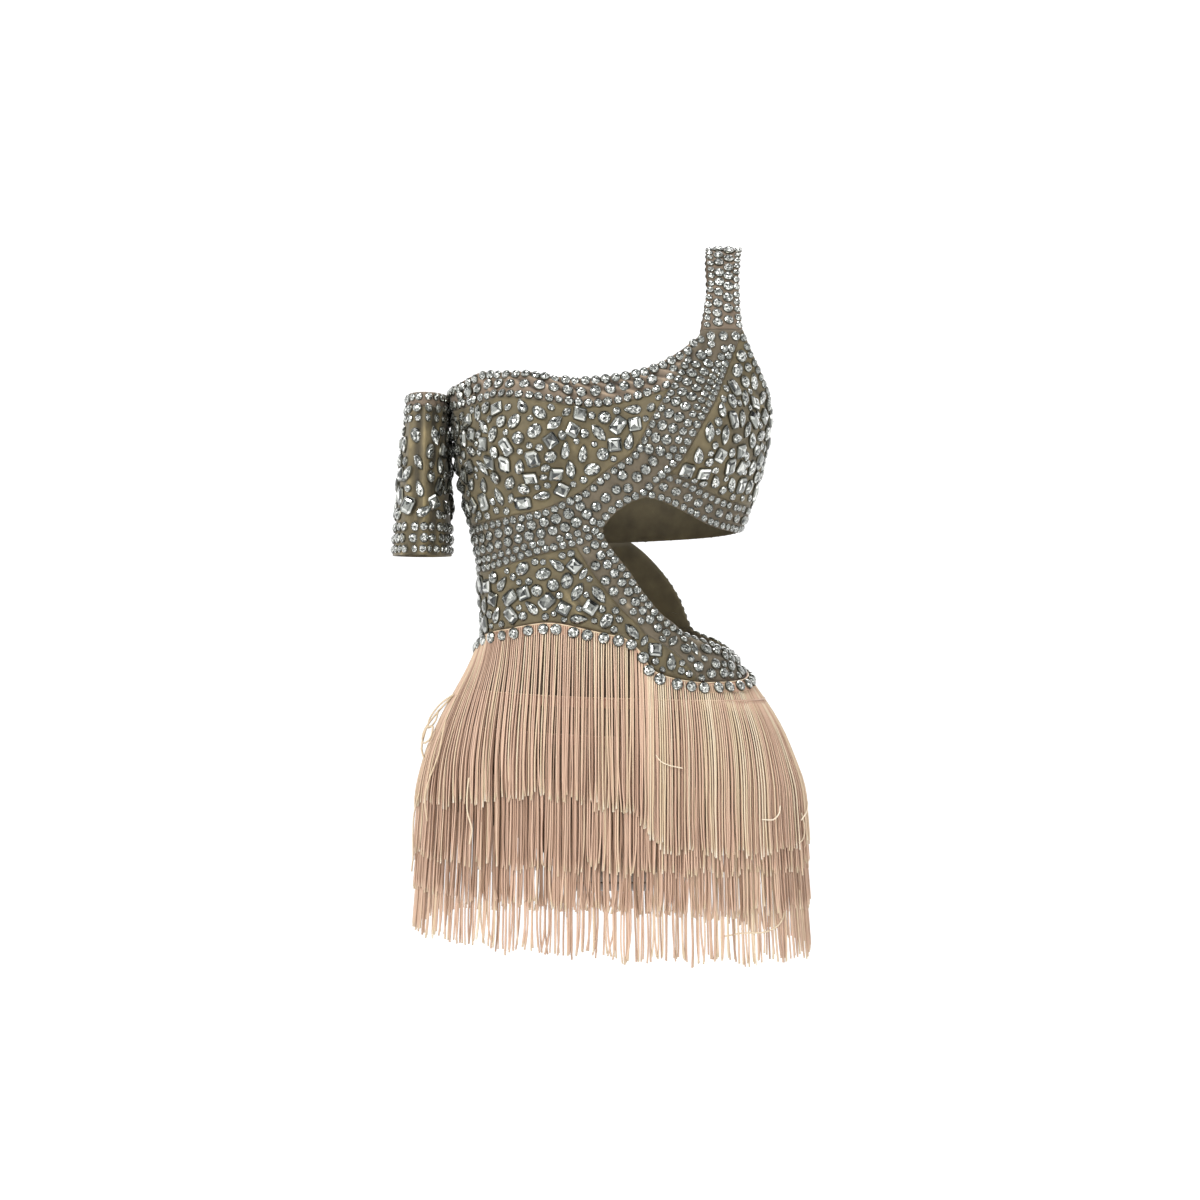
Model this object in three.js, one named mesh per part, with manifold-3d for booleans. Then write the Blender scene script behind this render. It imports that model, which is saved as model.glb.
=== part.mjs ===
// Rhinestone stage bodysuit: one wide strap, an empty off-shoulder sleeve on the other side, an
// open waist on the strap's side and four tiers of hip fringe.  Every cloth piece is a hollow wall.
// Millimetres, +Z up, the front toward -Y.  A point on the body is [turn, height]: turn is in
// degrees round the body, 0 at the front, 90 at the strap's side, 180 at the back.
import * as THREE from "three";
import Module from "manifold-3d";

const wasm = await Module();
wasm.setup();

// ---- driving dimensions ----
const PANEL = 1.2; // thickness of a single cloth
const BAND = 1.6; // thickness of a doubled, stoned band
const SEAM = 0.3; // air between two pieces that are sewn together
const DEGREE = 1.7; // mean millimetres of cloth in one degree of turn
const HOLD = new THREE.Vector3(124, 5, 350); // under the strap's top, where the garment hangs
const SQUARE = 0.88; // 1 is an ellipse, less is squarer
const HIP_LINE = -200; // below it the figure closes and the fringe hangs straight
const CROTCH = { height: -272, drop: 88, turn: 9 };
const BUST = { apart: 86, height: 152, reach: 72, above: 85, below: 64, rise: 34 };

const FIGURE = [
  { height: -290, middle: 12, half: 184, front: 100, back: 130 },
  { height: -200, middle: 11, half: 183, front: 100, back: 130 },
  { height: -150, middle: 10, half: 172, front: 101, back: 124 },
  { height: -100, middle: 9, half: 152, front: 96, back: 104 },
  { height: -80, middle: 7, half: 140, front: 93, back: 93 },
  { height: -60, middle: 7, half: 129, front: 91, back: 84 },
  { height: -45, middle: 2, half: 120, front: 88, back: 78 },
  { height: -30, middle: -8, half: 108, front: 86, back: 72 },
  { height: 0, middle: -5, half: 113, front: 85, back: 69 },
  { height: 40, middle: 0, half: 121, front: 86, back: 71 },
  { height: 70, middle: 6, half: 133, front: 88, back: 74 },
  { height: 100, middle: 8, half: 143, front: 91, back: 80 },
  { height: 140, middle: 10, half: 152, front: 95, back: 87 },
  { height: 170, middle: 11, half: 156, front: 95, back: 92 },
  { height: 205, middle: 9, half: 158, front: 92, back: 95 },
  { height: 235, middle: 4, half: 168, front: 86, back: 93 },
  { height: 270, middle: 0, half: 182, front: 76, back: 86 },
];

// seams and free edges, each drawn through [turn, height] points from left to right or upward
const EDGES = {
  neckline: { steps: 23, through: [[-90, 208], [-65, 211], [-53, 216], [-46, 219], [-37, 217],
    [-25, 216], [-18, 212], [-11, 210], [-2, 211], [3, 214], [10, 219], [17, 228], [22.6, 238],
    [28.6, 251.4]] },
  neckSeam: { steps: 18, through: [[-90, 188], [-66, 187], [-51, 190], [-39, 193], [-28, 190],
    [-18.6, 186.5], [-10, 184.5], [-3, 184], [3, 188], [10, 193], [18.3, 200.5]] },
  crossTopWaist: { steps: 18, through: [[-90, 72], [-63, 75], [-39, 81], [-23, 87], [-11.5, 99]] },
  crossTopChest: { steps: 10, through: [[-11.5, 99], [-7.3, 104.5], [-2.4, 117.5], [1.1, 128],
    [5.3, 137.5], [8.4, 151], [11.6, 171], [18.3, 200.5]] },
  crossTopStrap: { steps: 6, through: [[18.3, 200.5], [23.3, 227], [28.6, 251.4]] },
  crossTopEnd: { steps: 1, through: [[28.6, 251.4], [30.2, 259.5]] },
  crossFootWaist: { steps: 16, through: [[-90, 27], [-59, 29], [-39, 36.5], [-26, 43],
    [-8.9, 50.5]] },
  crossFootBand: { steps: 2, through: [[-8.9, 50.5], [-3.6, 56.5], [-0.8, 68.5]] },
  crossFootOpen: { steps: 3, through: [[-0.8, 68.5], [1.5, 81], [6.2, 92], [11.7, 98]] },
  crossFootUnder: { steps: 2, through: [[11.7, 98], [15.2, 109], [19.1, 119]] },
  crossFootCup: { steps: 12, through: [[19.1, 119], [23.3, 130.5], [25.4, 140], [28.3, 155],
    [30.8, 168], [36.6, 191], [43.2, 225], [46, 246.5], [47.7, 261.7]] },
  armhole: { steps: 10, through: [[47.7, 261.7], [52, 249.5], [59.3, 233.5], [72.4, 214],
    [90, 200]] },
  underTop: { steps: 10, through: [[19.1, 119], [24, 116], [32.3, 108.5], [40, 102.5], [52, 96],
    [72, 92.5], [90, 92]] },
  underFoot: { steps: 10, through: [[11.7, 98], [17.2, 95], [23.5, 89.5], [32.4, 81.5],
    [46.7, 71.5], [72, 67], [90, 69]] },
  cutEdge: { steps: 15, through: [[-0.8, 68.5], [0.1, 59], [5.7, 42], [12, 27.5], [20.4, 7.5],
    [32, -11.5], [46, -25], [56, -37], [64, -45], [75, -49], [90, -49]] },
  cutFoot: { steps: 10, through: [[35.3, -78.5], [36, -72], [31.5, -55.5], [26.8, -39], [22.3, -26],
    [12.8, -11.5], [4, 7.5], [-0.4, 22], [-4.5, 36], [-8.9, 50.5]] },
  tapeMidriff: { steps: 16, through: [[-90, -43], [-58, -30], [-44, -27], [-34, -24], [-18, -21],
    [-4, -26], [6, -32.5], [11, -36], [12.8, -47.5], [14.2, -61], [17.5, -68.5], [25, -74.5],
    [35.3, -78.5]] },
  tapeHip: { steps: 5, through: [[35.3, -78.5], [49, -79], [67, -78], [90, -72]] },
  tapeBack: { steps: 20, through: [[90, -72], [135, -60], [180, -50], [225, -45], [270, -43]] },
  backEdge: { steps: 10, through: [[90, -49], [107, -37], [125, -12], [145, 22], [160, 46],
    [170, 60]] },
  backOpen: { steps: 10, through: [[90, 69], [130, 64], [170, 60]] },
  backSeam: { steps: 10, through: [[170, 60], [220, 55], [270, 50]] },
  backArm: { steps: 6, through: [[90, 200], [101, 214], [113, 234], [122, 248], [129, 258]] },
  backNeck: { steps: 11, through: [[148, 258], [153, 242], [162, 222], [176, 206], [200, 196],
    [235, 196], [270, 208]] },
  legFrontLeft: { steps: 8, through: [[-90, -198], [-60, -201], [-36, -214], [-20, -236],
    [-12, -256], [-CROTCH.turn, CROTCH.height]] },
  legFrontRight: { steps: 9, through: [[CROTCH.turn, CROTCH.height], [12, -256], [20, -236],
    [36, -214], [60, -201], [90, -198]] },
  legBackRight: { steps: 8, through: [[90, -198], [118, -208], [142, -228], [160, -252],
    [180 - CROTCH.turn, CROTCH.height]] },
  legBackLeft: { steps: 8, through: [[180 + CROTCH.turn, CROTCH.height], [200, -252], [218, -228],
    [242, -208], [270, -198]] },
};
const CROTCH_STEPS = 4;

// the strap's sections from the chest over the shoulder to the back
const STRAP = [
  { x: 118, y: -56, height: 275, half: 19.6, yaw: 14 },
  { x: 117.5, y: -49, height: 292, half: 18.6, yaw: 9 },
  { x: 118, y: -39, height: 314, half: 18, yaw: 5 },
  { x: 120, y: -27, height: 333, half: 18, yaw: 2 },
  { x: 122.5, y: -11, height: 346, half: 18, yaw: 0 },
  { x: 124, y: 5, height: 350, half: 18, yaw: 0 },
  { x: 124, y: 21, height: 346, half: 18, yaw: 0 },
  { x: 123, y: 37, height: 334, half: 18.4, yaw: -4 },
  { x: 122, y: 50, height: 315, half: 18.8, yaw: -9 },
  { x: 121, y: 60, height: 294, half: 19.2, yaw: -14 },
  { x: 120.5, y: 66, height: 275, half: 19.6, yaw: -19 },
];

// the empty sleeve: its far side, the side next to the body, and half its depth
const SLEEVE = [
  { height: 44, far: -207, near: -148.5, half: 51 },
  { height: 80, far: -203, near: -149.5, half: 52 },
  { height: 140, far: -198, near: -150.5, half: 51 },
  { height: 189, far: -193, near: -150.9, half: 48 },
  { height: 204, far: -192, near: -150.9, half: 46 },
];
const CUFF_LINE = 189; // the band above, the plain sleeve below
const SLEEVE_TOP = 203;
const SLEEVE_FOOT = 44;
const SLEEVE_FOLDS = [
  { turn: -34, spread: 9, rise: 2.4 },
  { turn: 6, spread: 8, rise: 2 },
  { turn: -150, spread: 12, rise: 2.2 },
  { turn: 160, spread: 12, rise: 1.8 },
];

// fringe tiers from the top one down: strip line at the front, its slope from side to side,
// and how far the strands hang off the cloth
const STRIP = { rise: 2.3, thick: 1.2, tall: 10, below: 1 };
const LOCKS = { count: 45, sides: 3, root: 0.7, radius: 1.3, length: 160, ease: 28, flare: 0.035 };
const TIERS = [
  { name: "fringe_tier_1", line: null, slope: 0, lift: 12 },
  { name: "fringe_tier_2", line: -92, slope: 6, lift: 9.2 },
  { name: "fringe_tier_3", line: -128, slope: 9, lift: 6.3 },
  { name: "fringe_tier_4", line: -172, slope: 12, lift: 3.3 },
];
const LOCK_LEVELS = [-110, -140, -170, -200, -260];

// ---- the figure that the garment is worn on ----
const radians = THREE.MathUtils.degToRad;

// monotone cubic through one column of a table whose rows rise by height
function reader(rows, column) {
  const at = rows.map((row) => row.height);
  const value = rows.map((row) => row[column]);
  const pitch = value.slice(1).map((next, i) => (next - value[i]) / (at[i + 1] - at[i]));
  const slope = value.map((_, i) => {
    const before = pitch[Math.max(i - 1, 0)];
    const after = pitch[Math.min(i, pitch.length - 1)];
    return before * after > 0 ? (2 * before * after) / (before + after) : 0;
  });
  return (height) => {
    const level = THREE.MathUtils.clamp(height, at[0], at.at(-1));
    const i = Math.max(at.findLastIndex((row, k) => row <= level && k < at.length - 1), 0);
    const span = at[i + 1] - at[i];
    const t = (level - at[i]) / span;
    const bend = (1 - t) * slope[i] * span * t * (1 - t) - t * slope[i + 1] * span * t * (1 - t);
    const blend = t * t * (3 - 2 * t);
    return value[i] + (value[i + 1] - value[i]) * blend + bend;
  };
}

const [middle, half, front, back] = ["middle", "half", "front", "back"].map((column) =>
  reader(FIGURE, column));

function bustRise(x, height) {
  const tall = height > BUST.height ? BUST.above : BUST.below;
  return [-BUST.apart, BUST.apart].reduce((sum, apart) => {
    const across = (x - middle(height) - apart) / BUST.reach;
    const up = (height - BUST.height) / tall;
    const inside = Math.max(1 - across * across - up * up, 0);
    return sum + BUST.rise * inside * inside;
  }, 0);
}

function section(turn, level, height) {
  const side = Math.sin(radians(turn));
  const fore = Math.cos(radians(turn));
  const x = middle(level) + half(level) * Math.sign(side) * Math.abs(side) ** SQUARE;
  const closing = Math.min((HIP_LINE - height) / CROTCH.drop, 1);
  const shrink = height < HIP_LINE ? Math.sqrt(1 - closing * closing) : 1;
  const reach = (fore > 0 ? -front(level) : back(level)) * Math.abs(fore) ** SQUARE;
  return new THREE.Vector3(x, reach * shrink - (fore > 0 ? bustRise(x, level) : 0), height);
}

const bodyAt = (turn, height) => section(turn, height, height);

// how the fringe hangs: on the body down to the hips, then straight down and slightly out
function hangingAt(turn, height) {
  const level = Math.max(height, HIP_LINE);
  return section(turn, level, level).setZ(height);
}

function sleeveAt(turn, height) {
  const [far, near] = [sleeveFar(height), sleeveNear(height)];
  const loose = THREE.MathUtils.clamp((CUFF_LINE - height) / 30, 0, 1);
  const fold = SLEEVE_FOLDS.reduce((sum, { turn: at, spread, rise }) =>
    sum + rise * loose * Math.exp(-(((turn - at) / spread) ** 2)), 0);
  const [side, fore] = [Math.sin(radians(turn)), Math.cos(radians(turn))];
  const x = (far + near) / 2 + ((near - far) / 2) * side;
  return new THREE.Vector3(x, -(sleeveHalf(height) + fold) * fore, height);
}
const [sleeveFar, sleeveNear, sleeveHalf] = ["far", "near", "half"].map((column) =>
  reader(SLEEVE, column));

// a point of a surface moved out along its normal
function lifted(surface, turn, height, lift) {
  const across = surface(turn + 0.5, height).sub(surface(turn - 0.5, height));
  const up = surface(turn, height + 0.5).sub(surface(turn, height - 0.5));
  return surface(turn, height).addScaledVector(across.cross(up).normalize(), lift);
}

// ---- edges and panels ----
function knots(through, steps) {
  const points = through.map(([turn, height]) => new THREE.Vector3(turn * DEGREE, height, 0));
  const curve = new THREE.CatmullRomCurve3(points, false, "centripetal");
  return curve.getSpacedPoints(steps).map((p) => new THREE.Vector2(p.x / DEGREE, p.y));
}

const edge = Object.fromEntries(
  Object.entries(EDGES).map(([name, { steps, through }]) => [name, knots(through, steps)]));

const line = (from, to, steps) =>
  Array.from({ length: steps + 1 }, (_, i) => from.clone().lerp(to, i / steps));

const chain = (...edges) => edges.flatMap((part, i) => (i ? part.slice(1) : part));

// a closed loop of [turn, height] points moved inward by half a seam
function inset(loop) {
  return loop.map((point, i) => {
    const across = bodyAt(point.x + 0.5, point.y).distanceTo(bodyAt(point.x - 0.5, point.y));
    const up = bodyAt(point.x, point.y + 0.5).distanceTo(bodyAt(point.x, point.y - 0.5));
    const scale = new THREE.Vector2(across, up);
    const arrive = point.clone().sub(loop.at(i - 1)).multiply(scale).normalize();
    const leave = loop[(i + 1) % loop.length].clone().sub(point).multiply(scale).normalize();
    const along = arrive.clone().add(leave).normalize();
    const reach = SEAM / 2 / along.dot(leave);
    return point.clone().add(new THREE.Vector2(-along.y, along.x).multiplyScalar(reach).divide(scale));
  });
}

// grid of [turn, height] points inside four edges
function patch({ bottom, top, left, right }) {
  const loop = [bottom, right, top.toReversed(), left.toReversed()]
    .flatMap((side) => side.slice(0, -1));
  const moved = inset(loop);
  const cut = (from, steps) =>
    Array.from({ length: steps + 1 }, (_, k) => moved[(from + k) % moved.length]);
  const [n, m] = [bottom.length - 1, left.length - 1];
  const foot = cut(0, n);
  const far = cut(n, m);
  const head = cut(n + m, n).reverse();
  const near = cut(2 * n + m, m).reverse();
  return foot.map((_, i) => near.map((__, j) => {
    const [u, v] = [i / n, j / m];
    const ends = foot[0].clone().multiplyScalar((1 - u) * (1 - v))
      .addScaledVector(foot[n], u * (1 - v))
      .addScaledVector(head[0], (1 - u) * v)
      .addScaledVector(head[n], u * v);
    return foot[i].clone().multiplyScalar(1 - v).addScaledVector(head[i], v)
      .addScaledVector(near[j], 1 - u).addScaledVector(far[j], u).sub(ends);
  }));
}

// ---- solids ----
// closed wall between two matching grids of points; a ring joins the last column to the first
function wall(inner, outer, ring = false) {
  const [columns, rows] = [inner.length, inner[0].length];
  const shell = columns * rows;
  const positions = [...inner.flat(), ...outer.flat()].flatMap((p) => [p.x, p.y, p.z]);
  const index = [];
  const quad = (a, b, c, d) => index.push(a, b, c, a, c, d);
  const spans = ring ? columns : columns - 1;
  for (let i = 0; i < spans; i += 1) {
    const [here, next] = [i * rows, ((i + 1) % columns) * rows];
    for (let j = 0; j < rows - 1; j += 1) {
      quad(shell + here + j, shell + next + j, shell + next + j + 1, shell + here + j + 1);
      quad(here + j, here + j + 1, next + j + 1, next + j);
    }
    quad(here, next, shell + next, shell + here);
    quad(shell + here + rows - 1, shell + next + rows - 1, next + rows - 1, here + rows - 1);
  }
  const last = (columns - 1) * rows;
  for (let j = 0; j < rows - 1 && !ring; j += 1) {
    quad(j, shell + j, shell + j + 1, j + 1);
    quad(last + j + 1, shell + last + j + 1, shell + last + j, last + j);
  }
  return solid(positions, index);
}

function solid(positions, index) {
  const geometry = new THREE.BufferGeometry();
  geometry.setAttribute("position", new THREE.Float32BufferAttribute(positions, 3));
  geometry.setIndex(index);
  return geometry;
}

// a wall on the body inside four edges
function panel(edges, thick) {
  const grid = patch(edges);
  const at = (lift) => grid.map((column) => column.map((p) => lifted(bodyAt, p.x, p.y, lift)));
  return wall(at(0), at(thick));
}

// a wall on a free grid of points, its thickness square to the grid
function sheet(points, thick) {
  const outer = points.map((column, i) => column.map((point, j) => {
    const across = (points[i + 1] ?? column)[j].clone().sub((points[i - 1] ?? column)[j]);
    const along = (column[j + 1] ?? point).clone().sub(column[j - 1] ?? point);
    return point.clone().addScaledVector(across.cross(along).normalize(), thick);
  }));
  return wall(points, outer);
}

function tube(low, high, thick, rings, around) {
  const grid = (lift) => Array.from({ length: around }, (_, i) =>
    Array.from({ length: rings + 1 }, (__, j) => {
      const height = low + ((high - low) * j) / rings;
      return lifted(sleeveAt, -180 + (360 * i) / around, height, lift - thick);
    }));
  return wall(grid(0), grid(thick), true);
}

const toManifold = (geometry) => new wasm.Manifold(new wasm.Mesh({
  numProp: 3,
  vertProperties: Float32Array.from(geometry.attributes.position.array),
  triVerts: Uint32Array.from(geometry.index.array),
}));

function fused(geometries) {
  const whole = geometries.map(toManifold).reduce((sum, next) => sum.add(next)).getMesh();
  return solid(Array.from(whole.vertProperties), Array.from(whole.triVerts));
}

// ---- cloth pieces ----
const point = (turn, height) => new THREE.Vector2(turn, height);
const side = (turn, low, high, steps) => line(point(turn, low), point(turn, high), steps);
const strapFoot = line(edge.crossTopEnd.at(-1), edge.crossFootCup.at(-1), 3);
const strapTail = line(edge.backNeck[0], edge.backArm.at(-1), 3);
const tapeFront = chain(edge.tapeMidriff, edge.tapeHip);
const crotch = (centre) => line(
  point(centre - CROTCH.turn, CROTCH.height), point(centre + CROTCH.turn, CROTCH.height), CROTCH_STEPS);

const briefFrontEdges = {
  bottom: chain(edge.legFrontLeft, crotch(0), edge.legFrontRight),
  top: tapeFront,
  left: side(-90, -198, -43, 8),
  right: side(90, -198, -72, 8),
};
const briefBackEdges = {
  bottom: chain(edge.legBackRight, crotch(180), edge.legBackLeft),
  top: edge.tapeBack,
  left: side(90, -198, -72, 8),
  right: side(270, -198, -43, 8),
};

function strapSheet() {
  const end = (knotsAcross, up) => knotsAcross.map((p) => bodyAt(p.x, p.y + up));
  const rows = STRAP.map(({ x, y, height, half: wide, yaw }) => [-1, -1 / 3, 1 / 3, 1].map((share) =>
    new THREE.Vector3(x + share * wide * Math.cos(radians(yaw)),
      y + share * wide * Math.sin(radians(yaw)), height)));
  const all = [end(strapFoot, SEAM), ...rows, end(strapTail, SEAM)];
  return sheet(strapFoot.map((_, i) => all.map((row) => row[i])), BAND);
}

// the strip between the legs, from the back seam under and up to the front seam
function gussetSheet() {
  const start = Math.asin((HIP_LINE - CROTCH.height + SEAM) / CROTCH.drop);
  const steps = 5;
  const depth = (k) => HIP_LINE - CROTCH.drop * Math.sin(start + ((Math.PI / 2 - start) * k) / steps);
  return sheet(crotch(0).map(({ x: turn }) => [
    ...Array.from({ length: steps + 1 }, (_, k) => bodyAt(180 - turn, depth(k))),
    ...Array.from({ length: steps }, (_, k) => bodyAt(turn, depth(steps - 1 - k))),
  ]), BAND);
}

// ---- fringe ----
const topLine = reader(
  chain(tapeFront, edge.tapeBack).map((p) => ({ height: p.x, line: p.y })), "line");

function stripLine({ line: at, slope }, turn) {
  const round = turn < -90 ? turn + 360 : turn;
  return at === null ? topLine(round) : at - slope * Math.sin(radians(round));
}

// the narrow ring of backing that one tier is sewn to, laid over the columns of the briefs
function strip(tier) {
  const columns = [...patch(briefFrontEdges), ...patch(briefBackEdges).slice(1, -1)];
  const at = (lift) => columns.map((column) => {
    const head = tier.line === null ? column.at(-1).y : stripLine(tier, column.at(-1).x);
    return [STRIP.below + STRIP.tall, STRIP.below]
      .map((down) => onColumn(column, head - down, lift));
  });
  return wall(at(STRIP.rise), at(STRIP.rise + STRIP.thick), true);
}

// the point at a height on a column of facets, moved out
function onColumn(column, height, lift) {
  const j = Math.max(column.findLastIndex((p, k) => p.y <= height && k < column.length - 1), 0);
  const [low, high] = [column[j], column[j + 1]];
  const share = (height - low.y) / (high.y - low.y);
  return lifted(bodyAt, low.x, low.y, lift).lerp(lifted(bodyAt, high.x, high.y, lift), share);
}

function lock(tier, number) {
  const wave = Math.sin(number * 2.4);
  const turn = -180 + (360 * (number + 0.5 * (TIERS.indexOf(tier) % 2))) / LOCKS.count;
  const root = stripLine(tier, turn) - STRIP.below - STRIP.tall / 2;
  const end = stripLine(tier, turn) - LOCKS.length + 3 * wave;
  const levels = [root, ...LOCK_LEVELS.filter((z) => z < root - 12 && z > end + 8), end];
  const start = STRIP.rise + STRIP.thick / 2;
  const rings = levels.map((height, k) => {
    const eased = Math.min((root - height) / LOCKS.ease, 1);
    const flare = LOCKS.flare * Math.max(HIP_LINE - height, 0);
    const centre = lifted(hangingAt, turn + 0.5 * wave * eased, height,
      start + (tier.lift - start) * eased + flare).setZ(height);
    const radius = k ? LOCKS.radius : LOCKS.root;
    return Array.from({ length: LOCKS.sides }, (_, s) => {
      const angle = (s / LOCKS.sides) * Math.PI * 2 + radians(turn);
      return new THREE.Vector3(radius * Math.cos(angle), radius * Math.sin(angle), 0).add(centre);
    });
  });
  return prism(rings);
}

// closed prism through rings of points that run downward
function prism(rings) {
  const sides = rings[0].length;
  const index = [];
  for (let k = 0; k < rings.length - 1; k += 1) {
    for (let s = 0; s < sides; s += 1) {
      const [a, b] = [k * sides + s, k * sides + ((s + 1) % sides)];
      index.push(a, a + sides, b, b, a + sides, b + sides);
    }
  }
  const last = (rings.length - 1) * sides;
  for (let s = 1; s < sides - 1; s += 1) {
    index.push(0, s, s + 1, last, last + s + 1, last + s);
  }
  return solid(rings.flat().flatMap((p) => [p.x, p.y, p.z]), index);
}

function fringe(tier) {
  const locks = Array.from({ length: LOCKS.count }, (_, number) => lock(tier, number));
  return fused([strip(tier), ...locks]);
}

// ---- the garment ----
const LOOKS = {
  mesh: { color: 0x8c7855, roughness: 0.7 },
  band: { color: 0xa58c78, roughness: 0.6 },
  lining: { color: 0xd8b49c, roughness: 0.75 },
  fringe: { color: 0xe1beaa, roughness: 0.45 },
};

const PIECES = {
  neck_band_front: ["band", panel({
    bottom: chain(edge.neckSeam, edge.crossTopStrap.slice(0, -1)),
    top: edge.neckline,
    left: side(-90, 188, 208, 2),
    right: line(edge.crossTopStrap.at(-2), edge.crossTopStrap.at(-1), 2),
  }, BAND)],
  right_cup_panel: ["mesh", panel({
    bottom: edge.crossTopWaist,
    top: edge.neckSeam,
    left: side(-90, 72, 188, 10),
    right: edge.crossTopChest,
  }, PANEL)],
  cross_band: ["band", panel({
    bottom: chain(edge.crossFootWaist, edge.crossFootBand, edge.crossFootOpen,
      edge.crossFootUnder, edge.crossFootCup),
    top: chain(edge.crossTopWaist, edge.crossTopChest, edge.crossTopStrap, edge.crossTopEnd),
    left: side(-90, 27, 72, 3),
    right: strapFoot.toReversed(),
  }, BAND)],
  left_cup_panel: ["mesh", panel({
    bottom: edge.underTop,
    top: edge.armhole,
    left: edge.crossFootCup,
    right: side(90, 92, 200, 12),
  }, PANEL)],
  under_cup_band: ["band", panel({
    bottom: edge.underFoot,
    top: edge.underTop,
    left: edge.crossFootUnder,
    right: side(90, 69, 92, 2),
  }, BAND)],
  midriff_panel: ["mesh", panel({
    bottom: edge.tapeMidriff,
    top: edge.crossFootWaist,
    left: side(-90, -43, 27, 10),
    right: edge.cutFoot,
  }, PANEL)],
  cutout_band: ["band", panel({
    bottom: chain(edge.cutFoot.toReversed(), edge.tapeHip),
    top: edge.cutEdge,
    left: edge.crossFootBand,
    right: side(90, -72, -49, 2),
  }, BAND)],
  back_upper: ["mesh", panel({
    bottom: chain(edge.backOpen, edge.backSeam),
    top: chain(edge.backArm, strapTail.toReversed(), edge.backNeck),
    left: side(90, 69, 200, 8),
    right: side(270, 50, 208, 8),
  }, PANEL)],
  back_lower: ["mesh", panel({
    bottom: edge.tapeBack,
    top: chain(edge.backEdge, edge.backSeam),
    left: side(90, -72, -49, 5),
    right: side(270, -43, 50, 5),
  }, PANEL)],
  strap: ["band", strapSheet()],
  sleeve_band: ["band", tube(CUFF_LINE + SEAM / 2, SLEEVE_TOP, BAND, 1, 28)],
  sleeve: ["mesh", tube(SLEEVE_FOOT, CUFF_LINE - SEAM / 2, PANEL, 7, 28)],
  brief_front: ["lining", panel(briefFrontEdges, PANEL)],
  brief_back: ["lining", panel(briefBackEdges, PANEL)],
  gusset: ["lining", gussetSheet()],
  ...Object.fromEntries(TIERS.map((tier) => [tier.name, ["fringe", fringe(tier)]])),
};

const group = new THREE.Group();
group.name = "rhinestone_bodysuit";
for (const [name, [look, geometry]] of Object.entries(PIECES)) {
  geometry.translate(-HOLD.x, -HOLD.y, -HOLD.z);
  geometry.computeVertexNormals();
  const mesh = new THREE.Mesh(geometry, new THREE.MeshStandardMaterial(LOOKS[look]));
  mesh.name = name;
  group.add(mesh);
}

export default group;
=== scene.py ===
"""Looks for the rhinestone stage bodysuit: fine cloth shells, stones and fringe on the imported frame.

The figure and the seams repeat the part's own tables, in millimetres.  A point on the body is
(turn, height): degrees round the body from the front, and millimetres up.
"""
import math
from collections import namedtuple

import bpy
import numpy as np
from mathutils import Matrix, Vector


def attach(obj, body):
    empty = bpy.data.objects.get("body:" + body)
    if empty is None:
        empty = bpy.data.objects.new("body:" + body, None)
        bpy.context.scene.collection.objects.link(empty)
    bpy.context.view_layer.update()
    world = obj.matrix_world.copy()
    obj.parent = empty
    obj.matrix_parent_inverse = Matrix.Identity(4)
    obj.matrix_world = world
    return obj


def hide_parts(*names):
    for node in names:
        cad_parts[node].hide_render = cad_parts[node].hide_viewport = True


MM = 0.001
HOLD = np.array([124.0, 5.0, 350.0])  # the mount, where the frame has its origin
DEGREE = 1.7  # millimetres to a degree of turn, for laying curves
SQUARE = 0.88  # power of sine and cosine that squares the body's section a little
HIP_LINE = -200.0  # the body closes below it, towards the crotch
CROTCH_DROP, CROTCH_TURN, CROTCH_HEIGHT = 88.0, 9.0, -272.0
BUST_APART, BUST_HEIGHT, BUST_RISE = 86, 152, 34
BUST_ACROSS, BUST_UP, BUST_DOWN = 72, 85, 64
SLEEVE_HEM, SLEEVE_SEAM = 44, 189
INSIDE, BAND_THICK, MESH_THICK = 0.1, 1.3, 0.9  # shells: how far off the body, and their walls
RNG = np.random.default_rng(352)

# ---- figure
# height, middle, half width, front depth, back depth
FIGURE = np.array([
    (-290, 12, 184, 100, 130), (-200, 11, 183, 100, 130), (-150, 10, 172, 101, 124),
    (-100, 9, 152, 96, 104), (-80, 7, 140, 93, 93), (-60, 7, 129, 91, 84), (-45, 2, 120, 88, 78),
    (-30, -8, 108, 86, 72), (0, -5, 113, 85, 69), (40, 0, 121, 86, 71), (70, 6, 133, 88, 74),
    (100, 8, 143, 91, 80), (140, 10, 152, 95, 87), (170, 11, 156, 95, 92), (205, 9, 158, 92, 95),
    (235, 4, 168, 86, 93), (270, 0, 182, 76, 86)], float)
# height, far side, near side, half depth
SLEEVE = np.array([(44, -207, -148.5, 51), (80, -203, -149.5, 52), (140, -198, -150.5, 51),
                   (189, -193, -150.9, 48), (204, -192, -150.9, 46)], float)
# x, y, height, half width, yaw
STRAP = np.array([
    (118, -56, 275, 19.6, 14), (117.5, -49, 292, 18.6, 9), (118, -39, 314, 18, 5),
    (120, -27, 333, 18, 2), (122.5, -11, 346, 18, 0), (124, 5, 350, 18, 0), (124, 21, 346, 18, 0),
    (123, 37, 334, 18.4, -4), (122, 50, 315, 18.8, -9), (121, 60, 294, 19.2, -14),
    (120.5, 66, 275, 19.6, -19)], float)

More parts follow.
